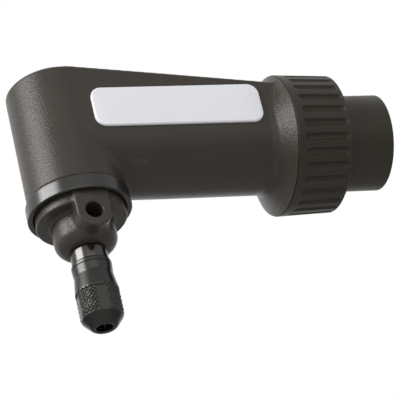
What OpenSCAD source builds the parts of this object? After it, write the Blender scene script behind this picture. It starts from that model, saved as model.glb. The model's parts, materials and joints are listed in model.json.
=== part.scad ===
// Angle head: a right-angle attachment for a hand-held rotary tool.
// The arm carries the drive from the tool to the head, where a bevel pair turns it down into a collet spindle.
// The origin is the centre of the mouth that screws on the tool's nose. +X points out of it, and +Z is up.

/* [Adapter] */
// Radius of the sleeve behind the coupling nut
sleeve_r = 12; // [11.4:0.05:12.6]
// Length of the sleeve that shows behind the coupling nut
sleeve_len = 13.35; // [12:0.05:15]
// Edge rounding at the mouth
mouth_round = 0.5; // [0.2:0.1:1]
// Radius of the tool thread
thread_r = 9.6; // [8.6:0.1:10]
// Depth of the tool thread
thread_depth = 11; // [8:0.5:12]
// Radius of the adapter's flange inside the coupling nut
flange_r = 13.55; // [13:0.05:13.7]
// Thickness of the adapter's flange
flange_t = 2.5; // [1.5:0.1:3]
// Length of the pilot that centres the adapter in the arm
pilot_len = 7.5; // [5:0.5:9]
// Wall of the pilot
pilot_wall = 1.45; // [1:0.05:2]
// Thickness of the thrust washer between flange and nut
washer_t = 0.5; // [0.3:0.1:1]
// Width of the thrust washer's face
washer_w = 1.3; // [0.8:0.1:1.4]

/* [Coupling nut] */
// Length of the coupling nut
nut_len = 14.1; // [12.5:0.05:16]
// Radius of its plain band
nut_r = 17.6; // [17:0.05:19]
// Draft of the ribbed part in degrees
nut_draft = 2; // [0:0.5:3]
// Width of the plain band
band_w = 2; // [1.5:0.1:4]
// Width of the plain rim behind the grip grooves
rear_rim = 0.6; // [0.3:0.1:2]
// Number of grip grooves
groove_count = 30; // [20:1:36]
// Turn of the first grip groove from the top, in degrees
groove_turn = 8.3; // [0:0.1:12]
// Width of a grip groove
groove_w = 1.8; // [1.4:0.1:2.4]
// Depth of a grip groove
groove_depth = 0.7; // [0.3:0.05:0.9]
// Thickness of the lip that pulls on the flange
lip_t = 3; // [2:0.1:4]
// Radius of the thread between nut and arm
arm_thread_r = 13.8; // [13.75:0.05:14]

/* [Arm and head] */
// Distance from the mouth to the spindle axis
head_reach = 81; // [78:0.5:95]
// Radius of the head
head_r = 12.15; // [12.15:0.05:13]
// Height of the head's flat top above the drive axis
head_top = 17.5; // [16.5:0.5:20]
// Depth of the head's lower edge below the drive axis
head_drop = 13.8; // [13.3:0.1:15]
// Rounding of the head's top rim
head_round = 1; // [0.4:0.1:2]
// Wall of the head round the gears
head_wall = 2.15; // [1.8:0.05:2.4]
// Half width of the arm, and radius of its round underside
arm_r = 12.1; // [11.8:0.05:12.1]
// Height of the roof above the drive axis at the arm's rear end
arm_end_top = 11; // [10.8:0.1:14]
// Rounding of the roof's long edges
roof_round = 0.6; // [0.5:0.1:2]
// Length of the flare that leads from the arm to the coupling nut
flare_len = 3.85; // [2.5:0.05:5]
// Power of the flare's curve, from a cone at 1 to a hollow one
flare_power = 1.6; // [1:0.1:3]
// Step between the flare's rim and the coupling nut
flare_step = 0.15; // [0.05:0.05:0.4]
// Gap that shows between the flare and the coupling nut
nut_gap = 0.2; // [0.1:0.05:0.5]

/* [Nose] */
// Radius of the clamp ring
ring_r = 12.7; // [12.6:0.05:13.5]
// Height of the clamp ring
ring_h = 3.9; // [3.5:0.1:5]
// Gap that shows above the clamp ring
ring_gap = 0.2; // [0.1:0.05:0.4]
// Bevel on the clamp ring's edges
ring_bevel = 0.3; // [0.1:0.05:0.5]
// Radius of the thread between clamp ring and head
ring_thread_r = 11.7; // [11.6:0.05:11.9]
// Length of that thread on the head
ring_thread_len = 1.4; // [1:0.1:2]
// Reach of the clamp ring's lip under the nose cap's flange
ring_lip = 0.4; // [0.3:0.05:0.6]
// Thickness of the nose cap's flange
cap_flange_t = 1.3; // [1:0.1:1.6]
// Radius of the nose cap's plateau
plateau_r = 10.7; // [10:0.05:11]
// Depth of the plateau's face below the clamp ring
plateau_drop = 2.4; // [1.5:0.1:3.5]
// Radius of the nose boss
nose_r = 7.8; // [7.2:0.1:8.4]
// Height of the nose boss
nose_h = 7.9; // [7.4:0.1:10]
// Rounding of the nose boss's lower edge
nose_round = 3.1; // [0.5:0.1:3.2]
// Outer radius of the lug round the spindle lock's hole
lug_r = 4.3; // [3.4:0.1:4.6]
// Distance of the lug's face from the spindle axis
lug_reach = 10.9; // [9.5:0.1:11.1]
// Distance of the lock hole below the plateau's face
lock_drop = 2.7; // [2.4:0.1:3.4]
// Radius of the lock hole's wide mouth
lock_mouth_r = 2.1; // [1.8:0.05:2.4]
// Depth of the lock hole's wide mouth
lock_mouth_depth = 2; // [1:0.1:3]
// Radius of the lock pin's hole, in nose and spindle
lock_r = 1.6; // [1:0.05:1.7]
// Extra radius of the hole that the lock pin meets in the spindle
lock_play = 0.3; // [0.2:0.05:0.4]
// Web between the lock pin's hole and the lower bearing's pocket
lock_web = 1; // [0.6:0.1:1.2]
// Height of the felt dust seal
seal_h = 2; // [1:0.1:2.5]
// Radius of the felt dust seal
seal_r = 5.5; // [4.6:0.1:5.6]
// Web below the dust seal
seal_web = 0.6; // [0.4:0.1:1]

/* [Badge] */
// Length of the bare badge
badge_len = 43; // [30:0.5:44]
// Height of the bare badge
badge_h = 10.9; // [8:0.1:11]
// Distance of the badge's front end from the spindle axis
badge_from_head = 4.6; // [4.5:0.1:8]
// Depth of the badge's lower edge below the drive axis
badge_drop = 0.7; // [0:0.1:1]
// Corner radius of the badge
badge_corner = 2.2; // [1:0.1:4]
// Thickness of the badge in the middle
badge_t = 0.9; // [0.6:0.1:1.5]
// Thickness of the badge along its long edges
badge_edge_t = 0.5; // [0.3:0.05:0.5]

/* [Spindle and collet] */
// Radius of the spindle in the nose, and of its collet thread
spindle_r = 3.5; // [3.3:0.05:3.7]
// Radius of the spindle's shoulder ring
shoulder_ring_r = 4.3; // [4:0.1:4.6]
// Height of the shoulder ring
shoulder_ring_h = 2.4; // [1.5:0.1:3]
// Gap between the nose and the shoulder ring
neck_h = 1.3; // [0.8:0.1:2]
// Length of the collet thread
collet_thread_len = 11; // [9:0.5:12]
// Radius of the collet's shank
collet_r = 2.4; // [2.2:0.05:2.5]
// Depth of the collet's socket in the spindle
socket_depth = 9.6; // [7:0.1:10]
// Radius of the collet's bore
collet_bore_r = 1.6; // [1.2:0.05:1.65]
// Length of the collet's tapered head
collet_head_len = 4.6; // [4:0.1:4.6]
// Radius of the collet's tapered head where it is widest
collet_head_r = 3; // [2.8:0.05:3.2]
// Radius of the collet's tip
collet_tip_r = 1.85; // [1.8:0.05:1.88]
// Number of slits in the collet
slit_count = 4; // [2:1:4]
// Width of a slit
slit_w = 0.45; // [0.3:0.05:0.6]
// Length of a slit
slit_len = 10; // [6:0.5:11]

/* [Collet nut] */
// Radius of the nut's plain neck
collet_nut_neck_r = 4.4; // [4.3:0.05:4.8]
// Length of the plain neck
collet_nut_neck_h = 3.2; // [2:0.1:5]
// Length of the flare
collet_nut_flare_h = 4.2; // [2:0.1:5]
// Radius of the knurled body
collet_nut_r = 5.3; // [5:0.05:6]
// Length of the knurled body
collet_nut_body_h = 6.8; // [6.8:0.1:9]
// Length of the blunt tip
collet_nut_tip_h = 2.8; // [2:0.1:3]
// Radius of the tip's flat end
collet_nut_tip_r = 2.7; // [2.3:0.05:3]
// Radius of the hole in the tip
collet_nut_hole_r = 1.95; // [1.9:0.05:2.1]
// Number of wrench flats
flat_count = 4; // [2:2:6]
// Width of a wrench flat
flat_w = 3.6; // [2:0.1:4.4]
// Height of a wrench flat on the knurled body
flat_h = 6; // [3:0.1:6.6]
// Turn of the wrench flats at rest
flat_turn = -4; // [-45:1:45]

/* [Bevel pair] */
// Teeth on each bevel gear
gear_teeth = 16; // [14:2:18]
// Pitch radius at the outer end of the teeth
pitch_r = 7; // [6.5:0.1:7.2]
// Length of the teeth along the cone
face_w = 3.3; // [2.5:0.1:3.5]
// Pressure angle
pressure_angle = 20; // [20:0.5:25]
// Amount by which each tooth is thinned for backlash
tooth_thinning = 0.15; // [0.1:0.01:0.25]
// Thickness of the gear body behind the teeth
gear_back = 2.3; // [2:0.1:2.6]
// Radius of the gear hubs
hub_r = 4.5; // [4.3:0.1:4.8]
// Radius of the pins through the hubs
pin_r = 0.75; // [0.5:0.05:0.8]

/* [Drive shaft] */
// Radius of the shaft between the bearings
shaft_mid_r = 4; // [3.5:0.1:4.6]
// Width of the square end across its flats
square_w = 4.2; // [3:0.1:4.2]
// Length of the square end
square_len = 11.5; // [8:0.5:12]
// Room between the tool thread and the square end
square_inset = 1.5; // [1:0.1:3]

/* [Bearings] */
// Bore of the two arm bearings and of the lower spindle bearing
bearing_bore = 6; // [6:0.1:6.4]
// Outer diameter of the two arm bearings
arm_bearing_od = 19; // [18:0.1:19]
// Outer diameter of the lower spindle bearing
lower_bearing_od = 17; // [16:0.1:17]
// Width of the arm bearings and of the lower spindle bearing
bearing_w = 6; // [5.5:0.1:6]
// Bore of the upper spindle bearing
upper_bearing_bore = 4; // [4:0.1:4.4]
// Outer diameter of the upper spindle bearing
upper_bearing_od = 12; // [11:0.1:13]
// Width of the upper spindle bearing
upper_bearing_w = 4; // [3.6:0.1:4]
// Balls in a large bearing
ball_count = 8; // [6:1:8]
// Balls in the upper spindle bearing
upper_ball_count = 7; // [5:1:7]
// Ball diameter as a share of the space between bore and outer diameter
ball_share = 0.54; // [0.5:0.01:0.56]
// Free depth below the lower bearing's turning ring
bearing_relief = 0.6; // [0.3:0.1:0.8]
// Thickness of the cage's rim beside the balls
cage_rim = 0.45; // [0.3:0.05:0.5]

/* [Retainers] */
// Depth of the shoulder in front of the front arm bearing
front_shoulder = 0.8; // [0.5:0.1:1.2]
// Length of that shoulder
front_shoulder_len = 2.5; // [2:0.1:3.5]
// Distance of the circlip from the arm's rear end
circlip_inset = 1.4; // [1:0.1:3]
// Thickness of the circlip
circlip_t = 1.1; // [0.8:0.1:1.4]
// Depth of the circlip's groove
circlip_groove = 0.7; // [0.4:0.05:0.8]
// Width of the circlip's ring
circlip_w = 1.8; // [1.2:0.1:2.2]
// Open angle of the circlips in degrees
circlip_open = 50; // [20:5:90]
// Thickness of the clip on the drive shaft
shaft_clip_t = 0.8; // [0.5:0.1:1]
// Depth of its groove in the shaft
shaft_clip_groove = 0.6; // [0.4:0.05:0.8]
// Radius of the clip on the drive shaft
shaft_clip_r = 4.6; // [4:0.1:5]
// Wall of the spacer between the arm bearings
spacer_wall = 0.9; // [0.6:0.1:1.4]
// Thickness of the preload washer over the upper bearing
preload_t = 0.5; // [0.3:0.1:0.8]
// Depth that the gear chamber reaches above the drive axis
chamber_top = 9; // [8.6:0.1:10]

/* [Clearances] */
// Radial gap of pieces that are fitted together
fit_gap = 0.02; // [0.01:0.01:0.04]
// Gap of pieces that turn or slide on each other
run_gap = 0.05; // [0.03:0.01:0.1]
// Gap between balls and races, and round the cages
ball_gap = 0.12; // [0.08:0.01:0.16]

/* [Hidden] */
$fn = 64;

// A little more than a wall, so that a cut goes right through it
past = 1;
// Stretches of the flare's curve
flare_steps = 10;

// Places along the drive axis, from the mouth towards the head
head_x = -head_reach;
nut_rear_x = -sleeve_len;
lip_x = nut_rear_x - lip_t;
washer_x = lip_x - run_gap - washer_t;
flange_x = washer_x - run_gap - flange_t;
joint_x = flange_x - run_gap;
pilot_x = flange_x - pilot_len;
nut_front_x = nut_rear_x - nut_len;
arm_end_x = nut_front_x - nut_gap;
flare_x = arm_end_x - flare_len;
circlip_x = flare_x - circlip_inset - circlip_t;
arm_len = arm_end_x - head_x;
roof_slope = atan((head_top - arm_end_top) / arm_len);
rear_bearing_x = circlip_x - fit_gap - bearing_w;

// Radii along the arm
nut_bore_r = arm_thread_r + run_gap;
flare_r = nut_r - flare_step;
arm_bore_r = arm_bearing_od / 2 + fit_gap;
pilot_r = arm_bore_r - run_gap;
shaft_r = bearing_bore / 2 - fit_gap;

// Places along the spindle, downwards from the top
chamber_r = head_r - head_wall;
upper_bearing_z = chamber_top + run_gap;
preload_z = upper_bearing_z + upper_bearing_w + fit_gap;
pocket_top = preload_z + preload_t + run_gap;
ring_top = -head_drop - ring_gap;
ring_z = ring_top - ring_h;
cap_seat_z = -head_drop - ring_thread_len - fit_gap;
cap_flange_z = cap_seat_z - cap_flange_t;
plateau_z = ring_z - plateau_drop;
nose_z = plateau_z - nose_h;
lock_z = plateau_z - lock_drop;
seal_z = nose_z + seal_web;
lower_bearing_z = lock_z + lock_r + lock_web + bearing_relief;
hub_end_z = lower_bearing_z + bearing_w + fit_gap;
shoulder_ring_top = nose_z - neck_h;
shoulder_ring_z = shoulder_ring_top - shoulder_ring_h;
spindle_end_z = shoulder_ring_z - collet_thread_len;
socket_top = spindle_end_z + socket_depth;

// Radii along the spindle
spindle_mid_r = shaft_r;
spindle_top_r = upper_bearing_bore / 2 - fit_gap;
spindle_clear_r = (spindle_mid_r + spindle_top_r) / 2;
ring_bore_r = ring_thread_r + fit_gap;
ring_lip_r = ring_bore_r - ring_lip;
cap_spigot_r = chamber_r - fit_gap;
nose_bore_r = spindle_r + 2 * run_gap;

// Bevel pair with crossed axes and equal gears
cone_angle = 45;
cone_len = pitch_r / sin(cone_angle);
tooth_module = 2 * pitch_r / gear_teeth;
gear_heel = pitch_r / tan(cone_angle);
gear_toe = gear_heel * (1 - face_w / cone_len);
gear_back_at = gear_heel + gear_back;
front_bearing_x = head_x + chamber_r + front_shoulder_len;
pinion_hub_x = front_bearing_x - fit_gap;
pinion_pin_x = (head_x + gear_back_at + pinion_hub_x) / 2;
gear_pin_z = (hub_end_z - gear_back_at) / 2;
gear_turn = 180 / gear_teeth;

// Collet nut, downwards from its top
collet_nut_top = shoulder_ring_z - run_gap;
collet_nut_flare_z = collet_nut_top - collet_nut_neck_h;
collet_nut_body_z = collet_nut_flare_z - collet_nut_flare_h;
collet_nut_tip_z = collet_nut_body_z - collet_nut_body_h;
collet_nut_end_z = collet_nut_tip_z - collet_nut_tip_h;
collet_head_z = spindle_end_z - 2 * run_gap;
collet_end_z = collet_head_z - collet_head_len;
flat_at = sqrt(pow(collet_nut_r, 2) - pow(flat_w / 2, 2));

// Bearings as [bore, outer diameter, width, number of balls]
arm_bearing = [bearing_bore, arm_bearing_od, bearing_w, ball_count];
lower_bearing = [bearing_bore, lower_bearing_od, bearing_w, ball_count];
upper_bearing = [upper_bearing_bore, upper_bearing_od, upper_bearing_w, upper_ball_count];

body_colour = [0.26, 0.25, 0.23];
nut_colour = [0.2, 0.2, 0.18];
steel_colour = [0.72, 0.73, 0.75];
dark_steel_colour = [0.16, 0.16, 0.17];
brass_colour = [0.72, 0.58, 0.3];

// Puts a shape that is drawn up along Z on the drive axis, with its foot at x
module along_drive(x) {
    translate([x, 0, 0]) rotate([0, 90, 0]) children();
}

// Puts a shape that is drawn up along Z on the spindle axis, with its foot at z
module along_spindle(z) {
    translate([head_x, 0, z]) children();
}

module tube(outer_r, inner_r, h) {
    difference() {
        cylinder(r = outer_r, h = h);
        translate([0, 0, -past]) cylinder(r = inner_r, h = h + 2 * past);
    }
}

module quarter_disc(r) {
    intersection() {
        circle(r);
        square(r);
    }
}

// Half section of a round bar whose upper rim is rounded
module round_rim_section(r, h, rim) {
    square([r, h - rim]);
    translate([0, h - rim]) square([r - rim, rim]);
    translate([r - rim, h - rim]) quarter_disc(rim);
}

// Rectangle from the origin along +X, centred on Y, with rounded corners at the origin's end
module round_top_section(depth, half_w, corner) {
    translate([corner, -half_w]) square([depth - corner, 2 * half_w]);
    translate([0, corner - half_w]) square([corner, 2 * (half_w - corner)]);
    for (side = [-1, 1])
        translate([corner, side * (half_w - corner)])
            rotate(side > 0 ? 90 : 180) quarter_disc(corner);
}

module round_rectangle(size, corner) {
    inner = [size.x - 2 * corner, size.y - 2 * corner];
    translate([corner, 0]) square([inner.x, size.y]);
    for (x = [0, 1]) {
        translate([x * (size.x - corner), corner]) square([corner, inner.y]);
        for (y = [0, 1])
            translate([corner + x * inner.x, corner + y * inner.y])
                mirror([1 - x, 0]) mirror([0, 1 - y]) quarter_disc(corner);
    }
}

module open_ring(outer_r, inner_r, h, open) {
    rotate(open / 2) rotate_extrude(angle = 360 - open)
        translate([inner_r, 0]) square([outer_r - inner_r, h]);
}

// Ball bearings, drawn up along Z from their lower face
function ball_circle(b) = (b[0] + b[1]) / 4;
function ball_r(b) = ball_share * (b[1] - b[0]) / 4;
function inner_land(b) = ball_circle(b) - ball_r(b) / 2;
function outer_land(b) = ball_circle(b) + ball_r(b) / 2;

module race_ring(b, from_r, to_r) {
    rotate_extrude() difference() {
        translate([from_r, 0]) square([to_r - from_r, b[2]]);
        translate([ball_circle(b), b[2] / 2]) circle(ball_r(b) + ball_gap);
    }
}

module outer_ring(b) {
    color(steel_colour) race_ring(b, outer_land(b), b[1] / 2);
}

module inner_ring(b) {
    color(steel_colour) race_ring(b, b[0] / 2, inner_land(b));
}

module at_balls(b) {
    for (i = [0 : b[3] - 1])
        rotate(i * 360 / b[3]) translate([ball_circle(b), 0, b[2] / 2]) children();
}

module balls(b) {
    color(steel_colour) at_balls(b) sphere(ball_r(b));
}

module cage(b) {
    pocket_r = ball_r(b) + run_gap;
    from_z = b[2] / 2 - pocket_r - cage_rim;
    color(brass_colour) difference() {
        translate([0, 0, from_z])
            tube(outer_land(b) - ball_gap, inner_land(b) + ball_gap, pocket_r + cage_rim + ball_r(b) / 3);
        at_balls(b) sphere(pocket_r);
    }
}

module front_bearing() {
    along_drive(front_bearing_x) children();
}

module rear_bearing() {
    along_drive(rear_bearing_x) children();
}

module upper_bearing_seat() {
    along_spindle(upper_bearing_z) children();
}

module lower_bearing_seat() {
    along_spindle(lower_bearing_z) children();
}

// Bevel teeth by the back-cone method: an involute of the developed back cone is laid on the cone
function inv(a) = tan(a) * 180 / PI - a;
function back_cone_r() = pitch_r / cos(cone_angle);
function base_r() = back_cone_r() * cos(pressure_angle);
function flank_angle(rho) =
    90 * cos(cone_angle) / gear_teeth - tooth_thinning / 2 / back_cone_r() * 180 / PI
    + inv(pressure_angle) - (rho > base_r() ? inv(acos(base_r() / rho)) : 0);
function cone_point(rho, azimuth, len) =
    let (tilt = atan((rho - back_cone_r()) / cone_len), slant = len / cos(tilt))
    slant * [
        sin(cone_angle + tilt) * cos(azimuth),
        sin(cone_angle + tilt) * sin(azimuth),
        cos(cone_angle + tilt)
    ];

// Apex at the origin, teeth round +Z, one tooth on the +X side, back face and hub away from the apex
module bevel_teeth() {
    flank_steps = 5;
    root_rho = back_cone_r() - 1.25 * tooth_module;
    tip_rho = back_cone_r() + tooth_module;
    rhos = [for (i = [0 : flank_steps]) root_rho + (tip_rho - root_rho) * i / flank_steps];
    outline = [
        for (t = [0 : gear_teeth - 1], side = [-1, 1], i = [0 : flank_steps])
            let (rho = rhos[side < 0 ? i : flank_steps - i])
            [rho, t * 360 / gear_teeth + side * flank_angle(rho) / cos(cone_angle)]
    ];
    n = len(outline);
    heel = [for (p = outline) cone_point(p[0], p[1], cone_len)];
    toe = [for (p = outline) cone_point(p[0], p[1], cone_len - face_w)];
    heel_apex = [0, 0, cone_len / cos(cone_angle)];
    toe_centre = [0, 0, gear_toe];
    sides = [for (i = [0 : n - 1]) let (j = (i + 1) % n) [n + i, i, j, n + j]];
    heel_cap = [for (i = [0 : n - 1]) [2 * n, (i + 1) % n, i]];
    toe_cap = [for (i = [0 : n - 1]) [2 * n + 1, n + i, n + (i + 1) % n]];
    polyhedron(concat(heel, toe, [heel_apex, toe_centre]), concat(sides, heel_cap, toe_cap));
}

module bevel_body(hub_end, pin_at) {
    difference() {
        union() {
            intersection() {
                bevel_teeth();
                cylinder(r = 2 * pitch_r, h = gear_back_at);
            }
            translate([0, 0, gear_heel]) cylinder(r = hub_r, h = hub_end - gear_heel);
        }
        cylinder(r = bearing_bore / 2, h = hub_end + past);
        translate([0, 0, pin_at]) rotate([90, 0, 0])
            cylinder(r = pin_r + fit_gap, h = 4 * hub_r, center = true);
    }
}

module hub_pin() {
    rotate([90, 0, 0]) cylinder(r = pin_r, h = 2 * hub_r - 4 * fit_gap, center = true);
}

module adapter_sleeve() {
    color(nut_colour) difference() {
        union() {
            along_drive(flange_x) rotate_extrude() round_rim_section(sleeve_r, -flange_x, mouth_round);
            along_drive(flange_x) cylinder(r = flange_r, h = flange_t);
            along_drive(pilot_x) cylinder(r = pilot_r, h = pilot_len + flange_t);
        }
        along_drive(pilot_x - past) cylinder(r = pilot_r - pilot_wall, h = past - pilot_x);
        along_drive(-thread_depth) cylinder(r = thread_r, h = thread_depth + past);
    }
}

module thrust_washer() {
    inner_r = sleeve_r + run_gap;
    color(steel_colour) along_drive(washer_x) tube(inner_r + washer_w, inner_r, washer_t);
}

module grip_cutter(r, len) {
    rotate_extrude() {
        translate([0, r]) square([r, len - 2 * r]);
        translate([0, r]) rotate(-90) quarter_disc(r);
        translate([0, len - r]) quarter_disc(r);
    }
}

module coupling_nut() {
    ribbed_x = nut_front_x + band_w;
    rear_r = nut_r - nut_len * tan(nut_draft);
    cutter_r = (pow(groove_w / 2, 2) + pow(groove_depth, 2)) / (2 * groove_depth);
    cutter_at = nut_r - band_w * tan(nut_draft) + cutter_r - groove_depth;
    lip_bore_r = sleeve_r + run_gap;
    color(nut_colour) difference() {
        along_drive(nut_front_x) rotate_extrude() {
            polygon([[nut_bore_r, 0], [nut_r, 0], [rear_r, nut_len], [nut_bore_r, nut_len]]);
            translate([lip_bore_r, lip_x - nut_front_x]) square([nut_bore_r - lip_bore_r, lip_t]);
        }
        for (i = [0 : groove_count - 1])
            rotate([i * 360 / groove_count + groove_turn, 0, 0])
                translate([ribbed_x, 0, cutter_at]) rotate([0, 90 + nut_draft, 0])
                    grip_cutter(cutter_r, nut_len - band_w - rear_rim);
    }
}

module head_form() {
    difference() {
        along_spindle(-head_drop) rotate_extrude()
            round_rim_section(head_r, head_top + head_drop, head_round);
        translate([head_x, -head_reach / 2, head_top]) rotate([0, roof_slope, 0])
            cube([head_reach, head_reach, head_top]);
    }
    along_spindle(-head_drop - ring_thread_len) cylinder(r = ring_thread_r, h = ring_thread_len + past);
}

module arm_form() {
    overrun = head_top * tan(roof_slope) + past;
    along_drive(head_x) linear_extrude(arm_len) intersection() {
        circle(arm_r);
        translate([0, -arm_r]) square([arm_r, 2 * arm_r]);
    }
    intersection() {
        translate([head_x, 0, head_top]) rotate([0, 90 + roof_slope, 0]) translate([0, 0, -overrun])
            linear_extrude(arm_len / cos(roof_slope) + 2 * overrun)
                round_top_section(2 * head_top, arm_r, roof_round);
        translate([head_x, -head_reach / 2, 0]) cube([arm_len, head_reach, head_top]);
    }
}

module flare_form() {
    start_r = arm_end_top - nut_gap;
    curve = [for (i = [0 : flare_steps])
        [start_r + (flare_r - start_r) * pow(i / flare_steps, flare_power), flare_len * i / flare_steps]];
    along_drive(flare_x) rotate_extrude() polygon(concat([[0, 0]], curve, [[0, flare_len]]));
}

module housing() {
    spigot_x = arm_end_x - 2 * nut_gap;
    color(body_colour) difference() {
        union() {
            head_form();
            arm_form();
            flare_form();
            along_drive(spigot_x) cylinder(r = arm_thread_r, h = joint_x - spigot_x);
        }
        along_drive(front_bearing_x) cylinder(r = arm_bore_r, h = joint_x - front_bearing_x + past);
        along_drive(head_x) cylinder(r = arm_bore_r - front_shoulder, h = front_bearing_x - head_x + past);
        along_drive(circlip_x) cylinder(r = arm_bore_r + circlip_groove, h = circlip_t);
        along_spindle(-head_drop - ring_thread_len - past)
            cylinder(r = chamber_r, h = head_drop + ring_thread_len + past + chamber_top);
        along_spindle(0) cylinder(r = upper_bearing_od / 2 + fit_gap, h = pocket_top);
    }
}

module badge() {
    rise = badge_t - badge_edge_t;
    dome_r = (pow(badge_h / 2, 2) + pow(rise, 2)) / (2 * rise);
    face_y = -arm_r - fit_gap;
    color([0.85, 0.86, 0.87]) intersection() {
        translate([head_x + badge_from_head, face_y, -badge_drop]) rotate([90, 0, 0])
            linear_extrude(badge_t + past) round_rectangle([badge_len, badge_h], badge_corner);
        translate([0, face_y - badge_t + dome_r, badge_h / 2 - badge_drop]) along_drive(-head_reach)
            cylinder(r = dome_r, h = head_reach, $fn = 6 * $fn);
    }
}

module clamp_ring() {
    color([0.3, 0.3, 0.31]) along_spindle(ring_z) difference() {
        rotate_extrude() polygon([
            [0, 0], [ring_r - ring_bevel, 0], [ring_r, ring_bevel],
            [ring_r, ring_h - ring_bevel], [ring_r - ring_bevel, ring_h], [0, ring_h]
        ]);
        translate([0, 0, -past]) cylinder(r = ring_lip_r, h = ring_h + 2 * past);
        translate([0, 0, cap_flange_z - fit_gap - ring_z]) cylinder(r = ring_bore_r, h = ring_h);
    }
}

module lock_lug() {
    intersection() {
        translate([head_x, 0, lock_z]) rotate([90, 0, 0]) linear_extrude(lug_reach) {
            circle(lug_r);
            translate([-lug_r, 0]) square([2 * lug_r, lock_drop + plateau_drop / 2]);
        }
        along_spindle(nose_z) cylinder(r = ring_lip_r - fit_gap, h = -nose_z);
    }
}

module nose_cap() {
    lower_seat_r = lower_bearing_od / 2 + fit_gap;
    relief_r = outer_land(lower_bearing) + ball_gap;
    color(body_colour) difference() {
        union() {
            along_spindle(cap_seat_z) cylinder(r = cap_spigot_r, h = hub_end_z - cap_seat_z);
            along_spindle(cap_flange_z) cylinder(r = ring_thread_r - fit_gap, h = cap_flange_t);
            along_spindle(plateau_z) cylinder(r = plateau_r, h = cap_flange_z - plateau_z + past);
            translate([head_x, 0, plateau_z + past]) mirror([0, 0, 1])
                rotate_extrude() round_rim_section(nose_r, nose_h + past, nose_round);
            lock_lug();
        }
        along_spindle(lower_bearing_z) cylinder(r = lower_seat_r, h = bearing_w + past);
        along_spindle(lower_bearing_z - bearing_relief) cylinder(r = relief_r, h = bearing_relief + past);
        along_spindle(nose_z - past) cylinder(r = nose_bore_r, h = lower_bearing_z - nose_z + past);
        along_spindle(seal_z) cylinder(r = seal_r + fit_gap, h = seal_h);
        translate([head_x, 0, lock_z]) rotate([90, 0, 0]) cylinder(r = lock_r, h = head_r);
        translate([head_x, lock_mouth_depth - lug_reach, lock_z]) rotate([90, 0, 0])
            cylinder(r = lock_mouth_r, h = head_r);
    }
}

module dust_seal() {
    color([0.55, 0.53, 0.48]) along_spindle(seal_z + fit_gap)
        tube(seal_r, spindle_r + run_gap, seal_h - 2 * fit_gap);
}

module bearing_spacer() {
    from_x = front_bearing_x + bearing_w + fit_gap;
    outer_r = arm_bore_r - fit_gap;
    color(brass_colour) along_drive(from_x)
        tube(outer_r, outer_r - spacer_wall, rear_bearing_x - fit_gap - from_x);
}

module housing_circlip() {
    outer_r = arm_bore_r + circlip_groove - fit_gap;
    color(dark_steel_colour) along_drive(circlip_x + fit_gap)
        open_ring(outer_r, outer_r - circlip_w, circlip_t - 2 * fit_gap, circlip_open);
}

module preload_washer() {
    outer_r = upper_bearing_od / 2 - fit_gap;
    color(steel_colour) along_spindle(preload_z) tube(outer_r, outer_land(upper_bearing), preload_t);
}

module drive_shaft() {
    tip_x = head_x + gear_toe + face_w / 4;
    mid_x = front_bearing_x + bearing_w + fit_gap;
    clip_x = rear_bearing_x + bearing_w;
    square_end_x = -thread_depth - square_inset;
    square_x = square_end_x - square_len;
    color(steel_colour) difference() {
        union() {
            along_drive(tip_x) cylinder(r = shaft_r, h = square_x - tip_x);
            along_drive(mid_x) cylinder(r = shaft_mid_r, h = rear_bearing_x - fit_gap - mid_x);
            translate([square_x - past, -square_w / 2, -square_w / 2])
                cube([square_len + past, square_w, square_w]);
        }
        along_drive(clip_x) tube(2 * shaft_r, shaft_r - shaft_clip_groove, shaft_clip_t + fit_gap);
        translate([pinion_pin_x, 0, 0]) rotate([90, 0, 0])
            cylinder(r = pin_r + fit_gap, h = 4 * shaft_r, center = true);
    }
}

module pinion() {
    color(dark_steel_colour) along_drive(head_x)
        bevel_body(pinion_hub_x - head_x, pinion_pin_x - head_x);
}

module pinion_pin() {
    color(steel_colour) translate([pinion_pin_x, 0, 0]) hub_pin();
}

module shaft_clip() {
    color(dark_steel_colour) along_drive(rear_bearing_x + bearing_w + fit_gap)
        open_ring(shaft_clip_r, shaft_r - shaft_clip_groove + fit_gap, shaft_clip_t - fit_gap, circlip_open);
}

module spindle() {
    color(steel_colour) difference() {
        union() {
            along_spindle(-gear_heel)
                cylinder(r = spindle_clear_r, h = gear_heel + upper_bearing_z - fit_gap);
            along_spindle(0) cylinder(r = spindle_top_r, h = preload_z);
            along_spindle(spindle_end_z)
                cylinder(r = spindle_mid_r, h = -gear_toe - face_w / 4 - spindle_end_z);
            along_spindle(spindle_end_z)
                cylinder(r = spindle_r, h = lower_bearing_z - fit_gap - spindle_end_z);
            along_spindle(shoulder_ring_z) cylinder(r = shoulder_ring_r, h = shoulder_ring_h);
        }
        along_spindle(spindle_end_z - past) cylinder(r = collet_r + run_gap, h = socket_depth + past);
        translate([head_x, 0, lock_z]) rotate([90, 0, 0])
            cylinder(r = lock_r + lock_play, h = 4 * spindle_r, center = true);
        along_spindle(gear_pin_z) rotate(gear_turn) rotate([90, 0, 0])
            cylinder(r = pin_r + fit_gap, h = 4 * spindle_r, center = true);
    }
}

// The gear hangs below the apex and shows the pinion's tooth a tooth space
module bevel_gear() {
    color(dark_steel_colour) along_spindle(0) rotate([180, 0, gear_turn])
        bevel_body(-hub_end_z, -gear_pin_z);
}

module gear_pin() {
    color(steel_colour) along_spindle(gear_pin_z) rotate(gear_turn) hub_pin();
}

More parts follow.
